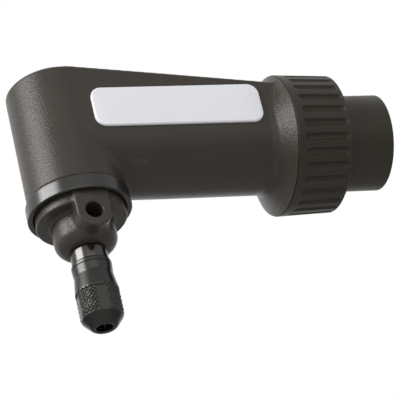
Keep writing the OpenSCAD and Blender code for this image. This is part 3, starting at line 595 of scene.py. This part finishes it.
class ANGLEHEAD_OT_housing(bpy.types.Operator):
    """Moulds the arm and head, with the thread of the arm's spigot"""

    bl_idname = "angle_head.housing"
    bl_label = "Arm and head"

    # The moulded skin, in millimetres
    VOXEL = 0.34
    END_MARGIN = 1.0
    SIDE_MARGIN = 0.5
    HEAD_INSET = 0.15
    LID_BLEND = 0.6
    FOOT_ROUND = 0.35
    SEAM_BLEND = 0.05
    FILLET_TOP = -4.5
    FILLET_GROWTH = 6.0
    SKIN_END = ARM_END - 0.3
    SPIGOT_SINK = 1.0

    # The flare's rim, in millimetres, the share of the flare before it, and its steps
    RIM_COVER = 0.12
    RIM_EDGE = 0.1
    RIM_WALL = 0.6
    RIM_DEPTH = 0.8
    RIM_STEP = 0.4
    RIM_FIRST = 0.4
    RIM_CURVE_STEPS = 40
    RIM_ROUND_STEPS = 192
    # Scales a radial distance from the flare to about the shortest distance
    FLARE_LEAN = 0.55

    # The spigot's thread, in millimetres, and its steps
    THREAD_START = ARM_END + 0.3
    THREAD_END = SPIGOT_END - 0.2
    THREAD_WALL = 0.4
    THREAD_SINK = 0.05
    THREAD_RUNOUT = 0.8
    THREAD_PITCH_STEPS = 10
    THREAD_ROUND_STEPS = 120

    def execute(self, context):
        size = sizes_in_mm(context.scene)
        sizes = {
            "Head radius": HEAD_R - self.HEAD_INSET, "Head top": HEAD_TOP, "Arm radius": size.arm_r,
            "Arm widening": size.widening, "Roof end": size.roof_end, "Edge rounding": size.roof_round,
            "Underside fillet": size.underside_fillet, "Flare blend": size.flare_blend,
        }
        tree, given = geometry_tree("Arm and head", sizes)
        x, y, z = position_in_mm(tree)
        round_drive = hypotenuse(y, z)
        body = self.arm_and_head(given, x, y, z)
        body = joined(body, self.flare(size, x, round_drive), given["Flare blend"])
        spigot = round_drive - (SPIGOT_R - size.spigot_depth)
        spigot = spigot.larger(x - SPIGOT_END).larger(ARM_END - self.SPIGOT_SINK - x)
        bore = (round_drive - BORE_R).larger(BORE_FLOOR - x)
        body = body.smaller(spigot).larger(-bore)
        side = FLARE_R + self.SIDE_MARGIN
        low_corner = (HOUSING_FRONT - self.END_MARGIN, -side, -side)
        high_corner = (SPIGOT_END + self.END_MARGIN, side, HEAD_TOP + self.END_MARGIN)
        material = finish("body_plastic")
        end_tree(skin_of(body, low_corner, high_corner, self.VOXEL), material)
        mesh = mesh_from_tree("housing_skin", tree, sizes)
        add_piece("arm_and_head", mesh, material, "arm", "body_plastic", "housing", crease=60.0)
        self.flare_rim(size, material)
        self.spigot_thread(size, material)
        return {"FINISHED"}

    def arm_and_head(self, given, x, y, z):
        """Distance to the head and the arm, with a fillet between them that grows downwards."""
        top = given["Head top"]
        head_r = given["Head radius"]
        rounding = given["Edge rounding"]
        out = x - HEAD_X
        slope = (top - given["Roof end"]) / (ARM_END - HEAD_X)
        roof = (z - top + out * slope) / (1.0 + slope * slope).math("SQRT")
        lid = -joined(top - z, -roof, self.LID_BLEND)
        head = within(hypotenuse(out, y) - head_r, lid, rounding)
        head = within(head, HEAD_BOTTOM - z, self.FOOT_ROUND)
        wider = (out / given["Arm widening"]).clamped() * (given["Arm radius"] - head_r)
        side = hypotenuse(y, z.smaller(0.0)) - head_r - wider
        arm = within(side, roof, rounding).larger(x - self.SKIN_END).larger(-out)
        low = ((self.FILLET_TOP - z) / self.FILLET_GROWTH).clamped()
        return joined(head, arm, low * given["Underside fillet"] + self.SEAM_BLEND)

    def flare(self, size, x, round_drive):
        """Distance to the flare's skin, which stays a little inside the flare's rim."""
        part = ((x - ARM_END) / size.flare_len + 1.0).clamped()
        curve = part.math("POWER", size.flare_power)
        rise = FLARE_R - size.flare_start - self.RIM_COVER
        cone = (round_drive - curve * rise - size.flare_start) * self.FLARE_LEAN
        return cone.larger(ARM_END - size.flare_len - x).larger(x - self.SKIN_END)

    def flare_rim(self, size, material):
        """The crisp rim of the flare, over the moulded skin."""
        rise = FLARE_R - size.flare_start
        outline = []
        for k in range(self.RIM_CURVE_STEPS + 1):
            part = self.RIM_FIRST + (1.0 - self.RIM_FIRST) * k / self.RIM_CURVE_STEPS
            radius = size.flare_start + rise * part**size.flare_power
            outline.append(Vector((ARM_END - size.flare_len * (1.0 - part), radius)))
        first = outline[0]
        outline += [
            Vector((ARM_END, FLARE_R - self.RIM_EDGE)),
            Vector((ARM_END, SPIGOT_R - self.RIM_DEPTH)),
            Vector((first.x, first.y - self.RIM_WALL)),
        ]
        mesh = revolved("flare_rim", filled_in(outline, self.RIM_STEP), self.RIM_ROUND_STEPS, about_drive)
        add_piece("flare_rim", mesh, material, "arm", "body_plastic")

    def spigot_thread(self, size, material):
        """The thread that shows when the coupling nut is backed off."""
        start = self.THREAD_START
        end = self.THREAD_END
        root = SPIGOT_R - size.spigot_depth
        inner = root - self.THREAD_WALL
        runout = self.THREAD_RUNOUT

        def crest(along, radius, angle):
            if radius < root:
                return radius
            ridge = thread_ridge(along, angle, size.spigot_pitch, slope=2.4, sink=0.15)
            fade = max(0.0, min(1.0, (along - start) / runout, (end - along) / runout))
            return root - self.THREAD_SINK + (size.spigot_depth - self.THREAD_SINK) * ridge * fade

        corners = [(start, inner, 0.0), (start, root, 0.0), (end, root, 0.0), (end, inner, 0.0)]
        outline = filled_in(rounded_outline(corners), size.spigot_pitch / self.THREAD_PITCH_STEPS)
        mesh = revolved("spigot_thread", outline, self.THREAD_ROUND_STEPS, about_drive, crest)
        add_piece("spigot_thread", mesh, material, "arm", "body_plastic")


class ANGLEHEAD_OT_coupling_nut(bpy.types.Operator):
    """Moulds the ribbed coupling nut: one groove's sector, repeated round the drive axis"""

    bl_idname = "angle_head.coupling_nut"
    bl_label = "Coupling nut"

    # Millimetres, and the steps over one groove
    DRAFT = math.radians(2.0)
    REAR_EDGE = 0.2
    BORE_EDGE = 0.05
    GROOVED_WALL = 1.2
    OUTLINE_STEP = 0.35
    EDGE_STEPS = 8
    SECTOR_STEPS = 22
    SEAM = 0.002

    def execute(self, context):
        size = sizes_in_mm(context.scene)
        pitch = TURN / size.grooves
        sector = self.sector(size, pitch)
        sizes = {"Grooves": size.grooves, "Seam": self.SEAM * MM}
        tree, given = geometry_tree("Ribbed nut", sizes)
        points = given["Grooves"].node("GeometryNodePoints", {}, {"Count": given["Grooves"]})
        index = points.node("GeometryNodeInputIndex", {}, {})
        turn = points.node("ShaderNodeCombineXYZ", {}, {"X": index * TURN / given["Grooves"]})
        ribs = points.node("GeometryNodeInstanceOnPoints", {}, {
            "Points": points, "Instance": given["Geometry"], "Rotation": turn,
        })
        real = ribs.node("GeometryNodeRealizeInstances", {}, {"Geometry": ribs})
        whole = real.node("GeometryNodeMergeByDistance", {}, {"Geometry": real, "Distance": given["Seam"]})
        material = finish("nut_plastic")
        end_tree(whole, material)
        mesh = mesh_from_tree("ribbed_nut", tree, sizes, sector)
        add_piece("ribbed_nut", mesh, material, "coupling", "nut_plastic", "coupling_nut")
        return {"FINISHED"}

    def sector(self, size, pitch):
        """One groove and half a land on each side of it."""
        rear_r = NUT_R - (NUT_REAR - NUT_FRONT) * math.tan(self.DRAFT)
        bore_r = SPIGOT_R + RUN_GAP
        lip_r = size.sleeve_r + RUN_GAP
        corners = [
            (NUT_FRONT, bore_r, self.BORE_EDGE), (NUT_FRONT, NUT_R, size.nut_edge),
            (NUT_REAR, rear_r, self.REAR_EDGE), (NUT_REAR, lip_r, self.REAR_EDGE),
            (LIP_FRONT, lip_r, 0.0), (LIP_FRONT, bore_r, 0.0),
        ]
        outline = filled_in(rounded_outline(corners, self.EDGE_STEPS), self.OUTLINE_STEP)
        cutter_r = ((size.groove_w / 2) ** 2 + size.groove_depth**2) / (2 * size.groove_depth)
        groove_start = NUT_FRONT + size.band_w + cutter_r
        groove_end = NUT_REAR - size.rear_rim - cutter_r

        def grooved(along, radius, angle):
            if radius < rear_r - self.GROOVED_WALL or along < NUT_FRONT + size.band_w / 2:
                return radius
            beyond = max(0.0, groove_start - along, along - groove_end)
            across = math.hypot(radius * (angle - size.groove_turn), beyond)
            if across < cutter_r:
                cut = math.sqrt(cutter_r**2 - across**2) - cutter_r + size.groove_depth
            else:
                cut = size.groove_depth - across
            return radius - 0.5 * (cut + math.hypot(cut, size.groove_soft))

        first = size.groove_turn - pitch / 2
        return revolved("nut_sector", outline, self.SECTOR_STEPS, about_drive, grooved, first, pitch)


class ANGLEHEAD_OT_adapter(bpy.types.Operator):
    """Turns the sleeve, with the thread that takes the tool's nose"""

    bl_idname = "angle_head.adapter"
    bl_label = "Adapter sleeve"

    # Millimetres, and the steps of the thread
    PILOT_WALL = 1.45
    MOUTH_EDGE = 0.3
    THREAD_EDGE = 0.4
    MOUTH_PLAIN = 0.6
    MOUTH_RUNOUT = 1.2
    FLOOR_RUNOUT = 0.8
    TOLERANCE = 0.0001
    PITCH_STEPS = 14
    ROUND_STEPS = 144

    def execute(self, context):
        size = sizes_in_mm(context.scene)
        inner_r = PILOT_R - self.PILOT_WALL
        thread_r = size.tool_thread_r
        floor_x = MOUTH - size.tool_thread_len
        corners = [
            (MOUTH, size.sleeve_r, self.MOUTH_EDGE), (MOUTH, thread_r, self.THREAD_EDGE),
            (floor_x, thread_r, 0.0), (floor_x, inner_r, 0.0), (PILOT_END, inner_r, 0.0),
            (PILOT_END, PILOT_R, 0.0), (FLANGE_FRONT, PILOT_R, 0.0), (FLANGE_FRONT, FLANGE_R, 0.0),
            (FLANGE_REAR, FLANGE_R, 0.0), (FLANGE_REAR, size.sleeve_r, 0.0),
        ]
        outline = filled_in(rounded_outline(corners), size.tool_pitch / self.PITCH_STEPS)

        def threaded(along, radius, angle):
            if abs(radius - thread_r) > self.TOLERANCE:
                return radius
            ridge = thread_ridge(along, angle, size.tool_pitch, slope=2.5, sink=0.2)
            from_mouth = (MOUTH - self.MOUTH_PLAIN - along) / self.MOUTH_RUNOUT
            from_floor = (along - floor_x) / self.FLOOR_RUNOUT
            fade = max(0.0, min(1.0, from_mouth, from_floor))
            return radius - size.tool_thread_depth * ridge * fade

        mesh = revolved("sleeve", outline, self.ROUND_STEPS, about_drive, threaded)
        add_piece("threaded_sleeve", mesh, finish("nut_plastic"), "adapter", "nut_plastic", "adapter_sleeve")
        return {"FINISHED"}


class ANGLEHEAD_OT_badge(bpy.types.Operator):
    """Makes the domed plate on the arm's side"""

    bl_idname = "angle_head.badge"
    bl_label = "Badge"

    # Half height of the dome's ridge and the least corner radius, in millimetres, and the steps
    RIDGE = 0.6
    LEAST_CORNER = 0.25
    EDGE_STEPS = 8
    DOME_STEPS = 12
    ARC_STEPS = 10
    SIDE_STEPS = 12

    def execute(self, context):
        size = sizes_in_mm(context.scene)
        half_w = (BADGE_RIGHT - BADGE_LEFT) / 2
        half_h = (BADGE_HIGH - BADGE_LOW) / 2
        centre = Vector(((BADGE_LEFT + BADGE_RIGHT) / 2, 0.0, (BADGE_LOW + BADGE_HIGH) / 2))
        rings = self.rings(size, half_h)
        points = []
        for inset, up in rings:
            corner = max(self.LEAST_CORNER, size.badge_round - inset)
            for x, z in self.outline(half_w - inset, half_h - inset, corner):
                points.append((centre + Vector((x, BADGE_BACK - up, z))) * MM)
        count = len(points) // len(rings)
        faces = [tuple(range(count)), tuple(range(len(points) - count, len(points)))]
        for r in range(len(rings) - 1):
            for i in range(count):
                j = (i + 1) % count
                faces.append((r * count + i, r * count + j, (r + 1) * count + j, (r + 1) * count + i))
        mesh = bpy.data.meshes.new("badge_plate")
        mesh.from_pydata(points, [], faces)
        add_piece("badge_plate", mesh, finish("badge_face"), "arm", "badge_face", "badge", crease=50.0)
        return {"FINISHED"}

    def rings(self, size, half_h):
        """Inset and height of each ring of points, from the foot over the edge to the dome's ridge."""
        edge = size.badge_edge
        rise = BADGE_BACK - BADGE_FACE - size.badge_dome
        rings = [(0.0, 0.0), (0.0, rise - edge)]
        for k in range(1, self.EDGE_STEPS + 1):
            angle = k / self.EDGE_STEPS * math.pi / 2
            rings.append((edge * (1 - math.cos(angle)), rise - edge + edge * math.sin(angle)))
        for k in range(1, self.DOME_STEPS + 1):
            inset = edge + (half_h - edge - self.RIDGE) * k / self.DOME_STEPS
            fall = 1 - (inset - edge) / (half_h - edge)
            rings.append((inset, rise + size.badge_dome * (1 - fall**2)))
        return rings

    def outline(self, half_w, half_h, corner):
        """Points round a rectangle with round corners, the same number for any size."""
        signs = ((1, 1), (-1, 1), (-1, -1), (1, -1))

        def on_corner(quarter, angle):
            sx, sz = signs[quarter % 4]
            x = sx * (half_w - corner) + corner * math.cos(angle)
            return Vector((x, sz * (half_h - corner) + corner * math.sin(angle)))

        points = []
        for quarter in range(4):
            for k in range(self.ARC_STEPS):
                points.append(on_corner(quarter, (quarter + k / self.ARC_STEPS) * math.pi / 2))
            angle = (quarter + 1) * math.pi / 2
            start = on_corner(quarter, angle)
            end = on_corner(quarter + 1, angle)
            points.extend(start.lerp(end, k / self.SIDE_STEPS) for k in range(self.SIDE_STEPS))
        return points


class ANGLEHEAD_OT_clamp_ring(bpy.types.Operator):
    """Turns the ring under the head"""

    bl_idname = "angle_head.clamp_ring"
    bl_label = "Clamp ring"

    # Millimetres, and the steps
    UPPER_EDGE = 0.35
    LOWER_EDGE = 0.3
    LIP_EDGE = 0.25
    OUTLINE_STEP = 0.6
    EDGE_STEPS = 8
    ROUND_STEPS = 180

    def execute(self, context):
        size = sizes_in_mm(context.scene)
        seat_r = RING_R - size.ring_wall
        seat_z = RING_BOTTOM + size.ring_lip_h
        lip_r = seat_r - size.ring_lip
        corners = [
            (RING_TOP, seat_r, 0.0), (RING_TOP, RING_R, self.UPPER_EDGE),
            (RING_BOTTOM, RING_R, self.LOWER_EDGE), (RING_BOTTOM, lip_r, self.LIP_EDGE),
            (seat_z, lip_r, 0.0), (seat_z, seat_r, 0.0),
        ]
        outline = filled_in(rounded_outline(corners, self.EDGE_STEPS), self.OUTLINE_STEP)
        mesh = revolved("clamp_ring", outline, self.ROUND_STEPS, about_spindle)
        add_piece("satin_ring", mesh, finish("dark_metal"), "arm", "dark_metal", "clamp_ring")
        return {"FINISHED"}


class ANGLEHEAD_OT_nose_cap(bpy.types.Operator):
    """Moulds the nose cap: plateau, nose and the lug with the lock hole"""

    bl_idname = "angle_head.nose_cap"
    bl_label = "Nose cap"

    # Millimetres
    VOXEL = 0.16
    MARGIN = 0.8
    TOP = RING_TOP + 0.1
    PLATEAU_EDGE = 0.45
    NOSE_BLEND = 1.0
    LUG_EDGE = 0.5
    LUG_BLEND = 0.8
    LOCK_EDGE = 0.28
    SPINDLE_HOLE_R = 3.62
    SPINDLE_HOLE_EDGE = 0.3

    def execute(self, context):
        size = sizes_in_mm(context.scene)
        sizes = {
            "Plateau radius": size.plateau_r, "Nose radius": size.nose_r, "Nose rounding": size.nose_round,
            "Lug radius": size.lug_r, "Lug reach": size.lug_reach, "Lock radius": size.lock_r,
        }
        tree, given = geometry_tree("Nose cap", sizes)
        x, y, z = position_in_mm(tree)
        out = x - HEAD_X
        round_spindle = hypotenuse(out, y)
        plateau_z = RING_BOTTOM - size.plateau_drop
        drop = z - (plateau_z - size.lock_drop)
        plateau = within(round_spindle - given["Plateau radius"], plateau_z - z, self.PLATEAU_EDGE)
        nose = within(round_spindle - given["Nose radius"], NOSE_BOTTOM - z, given["Nose rounding"])
        lug = hypotenuse(out, drop.smaller(0.0)) - given["Lug radius"]
        lug = within(lug, -y - given["Lug reach"], self.LUG_EDGE).larger(y)
        flange = round_spindle - (RING_R - size.ring_wall - RUN_GAP)
        flange = flange.larger(RING_BOTTOM + size.ring_lip_h + RUN_GAP - z)
        body = joined(joined(plateau, nose, self.NOSE_BLEND), lug, self.LUG_BLEND)
        body = body.smaller(flange).larger(z - self.TOP)
        round_lock = hypotenuse(out, drop)
        mouth = (round_lock - size.lock_mouth_r).larger(y + (size.lug_reach - size.lock_mouth_depth))
        lock = (round_lock - given["Lock radius"]).smaller(mouth).larger(y)
        body = within(body, -lock, self.LOCK_EDGE)
        body = within(body, self.SPINDLE_HOLE_R - round_spindle, self.SPINDLE_HOLE_EDGE)
        side = size.plateau_r + self.MARGIN
        low_corner = (HEAD_X - side, -size.lug_reach - self.MARGIN, NOSE_BOTTOM - self.MARGIN)
        high_corner = (HEAD_X + side, side, self.TOP + self.MARGIN)
        material = finish("body_plastic")
        end_tree(skin_of(body, low_corner, high_corner, self.VOXEL), material)
        mesh = mesh_from_tree("nose_skin", tree, sizes)
        add_piece("moulded_nose", mesh, material, "arm", "body_plastic", "nose_cap", crease=60.0)
        return {"FINISHED"}


class ANGLEHEAD_OT_collet_nut(bpy.types.Operator):
    """Turns and knurls the collet nut, with its wrench flats, and turns the spindle's shoulder"""

    bl_idname = "angle_head.collet_nut"
    bl_label = "Collet nut"

    # The nut's outline, in millimetres, and its steps
    BORE_R = 3.56
    BORE_CONE = 3.0
    HOLE_DEPTH = 1.0
    COLLAR_EDGE = 0.15
    COLLAR_FOOT = 0.3
    GROOVE_HALF = 0.08
    GROOVE_DEPTH = 0.12
    GROOVE_EDGE = 0.05
    GROOVE_ROUND = 0.04
    NECK_ROUND = 2.2
    BODY_ROUND = 1.2
    TIP_ROUND = 2.0
    END_ROUND = 1.4
    HOLE_EDGE = 0.35
    OUTLINE_STEP = 0.11
    ROUND_STEPS = 256

    # The knurl, in millimetres, and the slopes of its ridges and of the flats' ends
    KNURL_TOP = 0.1
    KNURL_TOP_FADE = 0.35
    KNURL_PAST_TIP = 0.3
    KNURL_TIP_FADE = 0.4
    KNURL_INNER_FADE = 0.2
    KNURL_SLOPE = 3.2
    FLAT_SLOPE = 2.0
    LEAST_R = 0.01

    # The shoulder, in millimetres, and its steps
    SHOULDER_BORE_R = 3.4
    SHOULDER_LIFT = 0.06
    LOWER_BEVEL = 0.2
    LOWER_ROUND = 0.04
    UPPER_ROUND = 0.12
    SHOULDER_STEPS = 144

    def execute(self, context):
        size = sizes_in_mm(context.scene)
        body_z = COLLET_NUT_TOP - size.flare_top - size.flare_h
        tip_z = COLLET_NUT_END + size.tip_h
        base = revolved("collet_nut", self.outline(size, body_z, tip_z), self.ROUND_STEPS, about_spindle)
        face_outwards(base)
        sizes = {
            "Knurls": size.knurls, "Knurl lead": size.knurl_lead, "Knurl depth": size.knurl_depth,
            "Flat distance": size.flat_at, "Flat turn": size.flat_turn,
        }
        tree, given = geometry_tree("Knurled nut", sizes)
        x, y, z = position_in_mm(tree)
        out = x - HEAD_X
        radius = hypotenuse(out, y)
        angle = y.math("ARCTAN2", out)
        top_fade = (body_z - self.KNURL_TOP - z) / self.KNURL_TOP_FADE
        tip_fade = (z - (tip_z - self.KNURL_PAST_TIP)) / self.KNURL_TIP_FADE
        inner_fade = (radius - size.tip_r) / self.KNURL_INNER_FADE
        fade = top_fade.clamped() * tip_fade.clamped() * inner_fade.clamped()
        knurled = radius - self.knurl(given, angle, z) * given["Knurl depth"] * fade
        off_flat = (angle - given["Flat turn"]).math("WRAP", math.pi / 4, -math.pi / 4)
        flat = given["Flat distance"] / off_flat.math("COSINE")
        above = (z - tip_z - size.flat_h).larger(0.0) * self.FLAT_SLOPE
        share = knurled.smaller(flat + above) / radius.larger(self.LEAST_R) * MM
        place = x.node("ShaderNodeCombineXYZ", {}, {
            "X": out * share + HEAD_X * MM, "Y": y * share, "Z": z * MM,
        })
        moved = place.node("GeometryNodeSetPosition", {}, {"Geometry": given["Geometry"], "Position": place})
        material = finish("black_steel", "Z")
        end_tree(moved, material)
        mesh = mesh_from_tree("knurled_nut", tree, sizes, base)
        add_piece("knurled_nut", mesh, material, "collet_nut", "black_steel", "collet_nut", crease=32.0)
        self.shoulder(size)
        return {"FINISHED"}

    def outline(self, size, body_z, tip_z):
        """The turned nut from its collar over the fine groove, neck and flare to the tip and up the bore."""
        groove_z = COLLET_NUT_TOP - size.neck_groove
        collar_r = size.collar_r
        corners = [
            (COLLET_NUT_TOP, self.BORE_R, 0.0), (COLLET_NUT_TOP, collar_r, self.COLLAR_EDGE),
            (groove_z, collar_r, self.GROOVE_EDGE),
            (groove_z - self.GROOVE_HALF, collar_r - self.GROOVE_DEPTH, self.GROOVE_ROUND),
            (groove_z - 2 * self.GROOVE_HALF, collar_r, self.COLLAR_FOOT),
            (COLLET_NUT_TOP - size.flare_top, size.neck_r, self.NECK_ROUND),
            (body_z, COLLET_NUT_R, self.BODY_ROUND), (tip_z, COLLET_NUT_R, self.TIP_ROUND),
            (COLLET_NUT_END, size.tip_r, self.END_ROUND), (COLLET_NUT_END, size.hole_r, self.HOLE_EDGE),
            (COLLET_NUT_END + self.HOLE_DEPTH, size.hole_r, 0.0),
            (tip_z + self.BORE_CONE, self.BORE_R, 0.0),
        ]
        return filled_in(rounded_outline(corners), self.OUTLINE_STEP)

    def knurl(self, given, angle, z):
        """Share of the knurl's depth: 1 in the grooves, which wind both ways, and 0 on the diamonds."""
        around = angle * given["Knurls"] / TURN
        up = z / given["Knurl lead"]
        one_way = (around + up).math("PINGPONG", 0.5)
        other_way = (around - up).math("PINGPONG", 0.5)
        return 1.0 - (one_way.smaller(other_way) * self.KNURL_SLOPE).clamped()

    def shoulder(self, size):
        """The bevelled shoulder of the spindle, which the nut stops at."""
        low = COLLET_NUT_TOP + self.SHOULDER_LIFT
        high = NOSE_BOTTOM - size.shoulder_gap
        bevel = size.shoulder_bevel
        shoulder_r = size.shoulder_r
        corners = [
            (low, self.SHOULDER_BORE_R, 0.0), (low, shoulder_r - self.LOWER_BEVEL, self.LOWER_ROUND),
            (low + self.LOWER_BEVEL, shoulder_r, self.LOWER_ROUND),
            (high - bevel, shoulder_r, self.UPPER_ROUND), (high, shoulder_r - bevel, self.UPPER_ROUND),
            (high, self.SHOULDER_BORE_R, 0.0),
        ]
        mesh = revolved("shoulder", rounded_outline(corners), self.SHOULDER_STEPS, about_spindle)
        add_piece("spindle_shoulder", mesh, finish("polished_steel", "Z"), "output", "bright_steel")


class ANGLEHEAD_OT_inner_parts(bpy.types.Operator):
    """Gives the CAD pieces that show as they are their finishes"""

    bl_idname = "angle_head.inner_parts"
    bl_label = "Shafts, gears and bearings"

    UPRIGHT = ("spindle", "bevel_gear", "gear_pin", "collet", "upper", "lower", "preload", "dust")

    def execute(self, context):
        for name, node in frame["nodes"].items():
            if node.hide_render:
                continue
            axis = "Z" if name.startswith(self.UPRIGHT) else "X"
            node.data.materials.clear()
            node.data.materials.append(finish(self.kind(name), axis))
        return {"FINISHED"}

    @staticmethod
    def kind(name):
        """The finish of a CAD piece."""
        if name.endswith("cage"):
            return "brass"
        if name == "dust_seal":
            return "felt"
        if name in ("housing_circlip", "shaft_clip", "preload_washer", "thrust_washer"):
            return "spring_steel"
        if name in ("pinion", "bevel_gear", "bearing_spacer"):
            return "black_steel"
        if name == "spindle":
            return "polished_steel"
        return "bright_steel"


class ANGLEHEAD_OT_stage(bpy.types.Operator):
    """Sets up the floor, the lights, the white surroundings and the camera"""

    bl_idname = "angle_head.stage"
    bl_label = "Stage"

    # The camera as fitted to the photograph: degrees, and metres in the object's frame
    AZIMUTH = -22.42
    ELEVATION = -29.83
    ROLL = -13.83
    TARGET = Vector((-0.05009, 0.0, -0.0149))
    DISTANCE = 0.63119
    FOCAL_PIXELS = 2600.0
    IMAGE_PIXELS = 400.0
    FILM_MM = 36.0
    CLIP_START = 0.01

    # Each lamp's offset along the camera's right, up and back, its two sides, in metres, and its watts
    LAMPS = {
        "key": ((-0.616, 0.286, 0.169), (0.5, 0.27), 5.6),
        "fill": ((0.15, 0.7, 1.0), (1.2, 1.2), 4.1),
    }
    SKY_LIGHT = 0.4
    FLOOR_Z = -0.55
    FLOOR_HALF = 4.0

    def execute(self, context):
        right, up, back = self.axes()
        self.add_camera(context, right, up, back)
        self.add_floor(context)
        self.add_world(context)
        for name, (offset, sides, watts) in self.LAMPS.items():
            away = offset[0] * right + offset[1] * up + offset[2] * back
            self.add_light(context, name, away, sides, watts)
        context.scene.view_settings.view_transform = "Standard"
        return {"FINISHED"}

    def axes(self):
        """Right, up and back of the camera."""
        a, e, r = (math.radians(v) for v in (self.AZIMUTH, self.ELEVATION, self.ROLL))
        back = Vector((math.sin(a) * math.cos(e), -math.cos(a) * math.cos(e), math.sin(e)))
        level = Vector((0, 0, 1)).cross(back).normalized()
        upright = back.cross(level)
        right = math.cos(r) * level + math.sin(r) * upright
        return right, back.cross(right), back

    def add_camera(self, context, right, up, back):
        data = bpy.data.cameras.new("camera")
        data.sensor_width = self.FILM_MM
        data.lens = self.FOCAL_PIXELS / self.IMAGE_PIXELS * self.FILM_MM
        data.clip_start = self.CLIP_START
        camera = bpy.data.objects.new("camera", data)
        turn = Matrix((right, up, back)).transposed().to_4x4()
        camera.matrix_world = Matrix.Translation(self.TARGET + back * self.DISTANCE) @ turn
        context.scene.collection.objects.link(camera)
        context.scene.camera = camera

    def add_floor(self, context):
        mesh = bpy.data.meshes.new("floor")
        half = self.FLOOR_HALF
        corners = ((-half, -half), (half, -half), (half, half), (-half, half))
        mesh.from_pydata([(x, y, self.FLOOR_Z) for x, y in corners], [], [(0, 1, 2, 3)])
        floor = bpy.data.objects.new("floor", mesh)
        colours = context.scene.angle_head_colours
        mesh.materials.append(new_material("pale_floor", colours.floor, Roughness=0.8)[0])
        context.scene.collection.objects.link(floor)

    def add_world(self, context):
        """White where the camera, a mirror or glass looks, and a plain grey light elsewhere."""
        world = bpy.data.worlds.new("surroundings")
        context.scene.world = world
        world.use_nodes = True
        path = Value(world.node_tree).node("ShaderNodeLightPath", {}, {}, output="Is Camera Ray")
        seen = path.larger(path.output("Is Transmission Ray")).larger(path.output("Is Glossy Ray"))
        background = world.node_tree.nodes["Background"]
        background.inputs["Color"].default_value = (1.0, 1.0, 1.0, 1.0)
        feed(background, "Strength", seen * (1.0 - self.SKY_LIGHT) + self.SKY_LIGHT)

    def add_light(self, context, name, away, sides, watts):
        """A soft lamp away from the target, which it shines at."""
        data = bpy.data.lights.new(name, "AREA")
        data.shape = "RECTANGLE"
        data.size, data.size_y = sides
        data.energy = watts
        lamp = bpy.data.objects.new(name, data)
        lamp.location = self.TARGET + away
        lamp.rotation_euler = away.to_track_quat("Z", "Y").to_euler()
        context.scene.collection.objects.link(lamp)


class ANGLEHEAD_PT_panel(bpy.types.Panel):
    """Lists the pieces, their sizes and their colours"""

    bl_idname = "ANGLEHEAD_PT_panel"
    bl_label = "Angle head"
    bl_space_type = "VIEW_3D"
    bl_region_type = "UI"
    bl_category = "Angle head"

    def draw(self, context):
        for operator in OPERATORS:
            self.layout.operator(operator.bl_idname)
        for group in (context.scene.angle_head_sizes, context.scene.angle_head_colours):
            column = self.layout.column()
            for name in group.__annotations__:
                column.prop(group, name)


OPERATORS = (
    ANGLEHEAD_OT_stage,
    ANGLEHEAD_OT_housing,
    ANGLEHEAD_OT_coupling_nut,
    ANGLEHEAD_OT_adapter,
    ANGLEHEAD_OT_badge,
    ANGLEHEAD_OT_clamp_ring,
    ANGLEHEAD_OT_nose_cap,
    ANGLEHEAD_OT_collet_nut,
    ANGLEHEAD_OT_inner_parts,
)
CLASSES = (AngleHeadSizes, AngleHeadColours, *OPERATORS, ANGLEHEAD_PT_panel)


def register():
    for cls in CLASSES:
        bpy.utils.register_class(cls)
    bpy.types.Scene.angle_head_sizes = PointerProperty(type=AngleHeadSizes)
    bpy.types.Scene.angle_head_colours = PointerProperty(type=AngleHeadColours)


def unregister():
    del bpy.types.Scene.angle_head_colours
    del bpy.types.Scene.angle_head_sizes
    for cls in reversed(CLASSES):
        bpy.utils.unregister_class(cls)


def main():
    """Builds the stage and every piece."""
    register()
    bpy.ops.angle_head.stage()
    bpy.ops.angle_head.housing()
    bpy.ops.angle_head.coupling_nut()
    bpy.ops.angle_head.adapter()
    bpy.ops.angle_head.badge()
    bpy.ops.angle_head.clamp_ring()
    bpy.ops.angle_head.nose_cap()
    bpy.ops.angle_head.collet_nut()
    bpy.ops.angle_head.inner_parts()


if __name__ == "__main__":
    main()
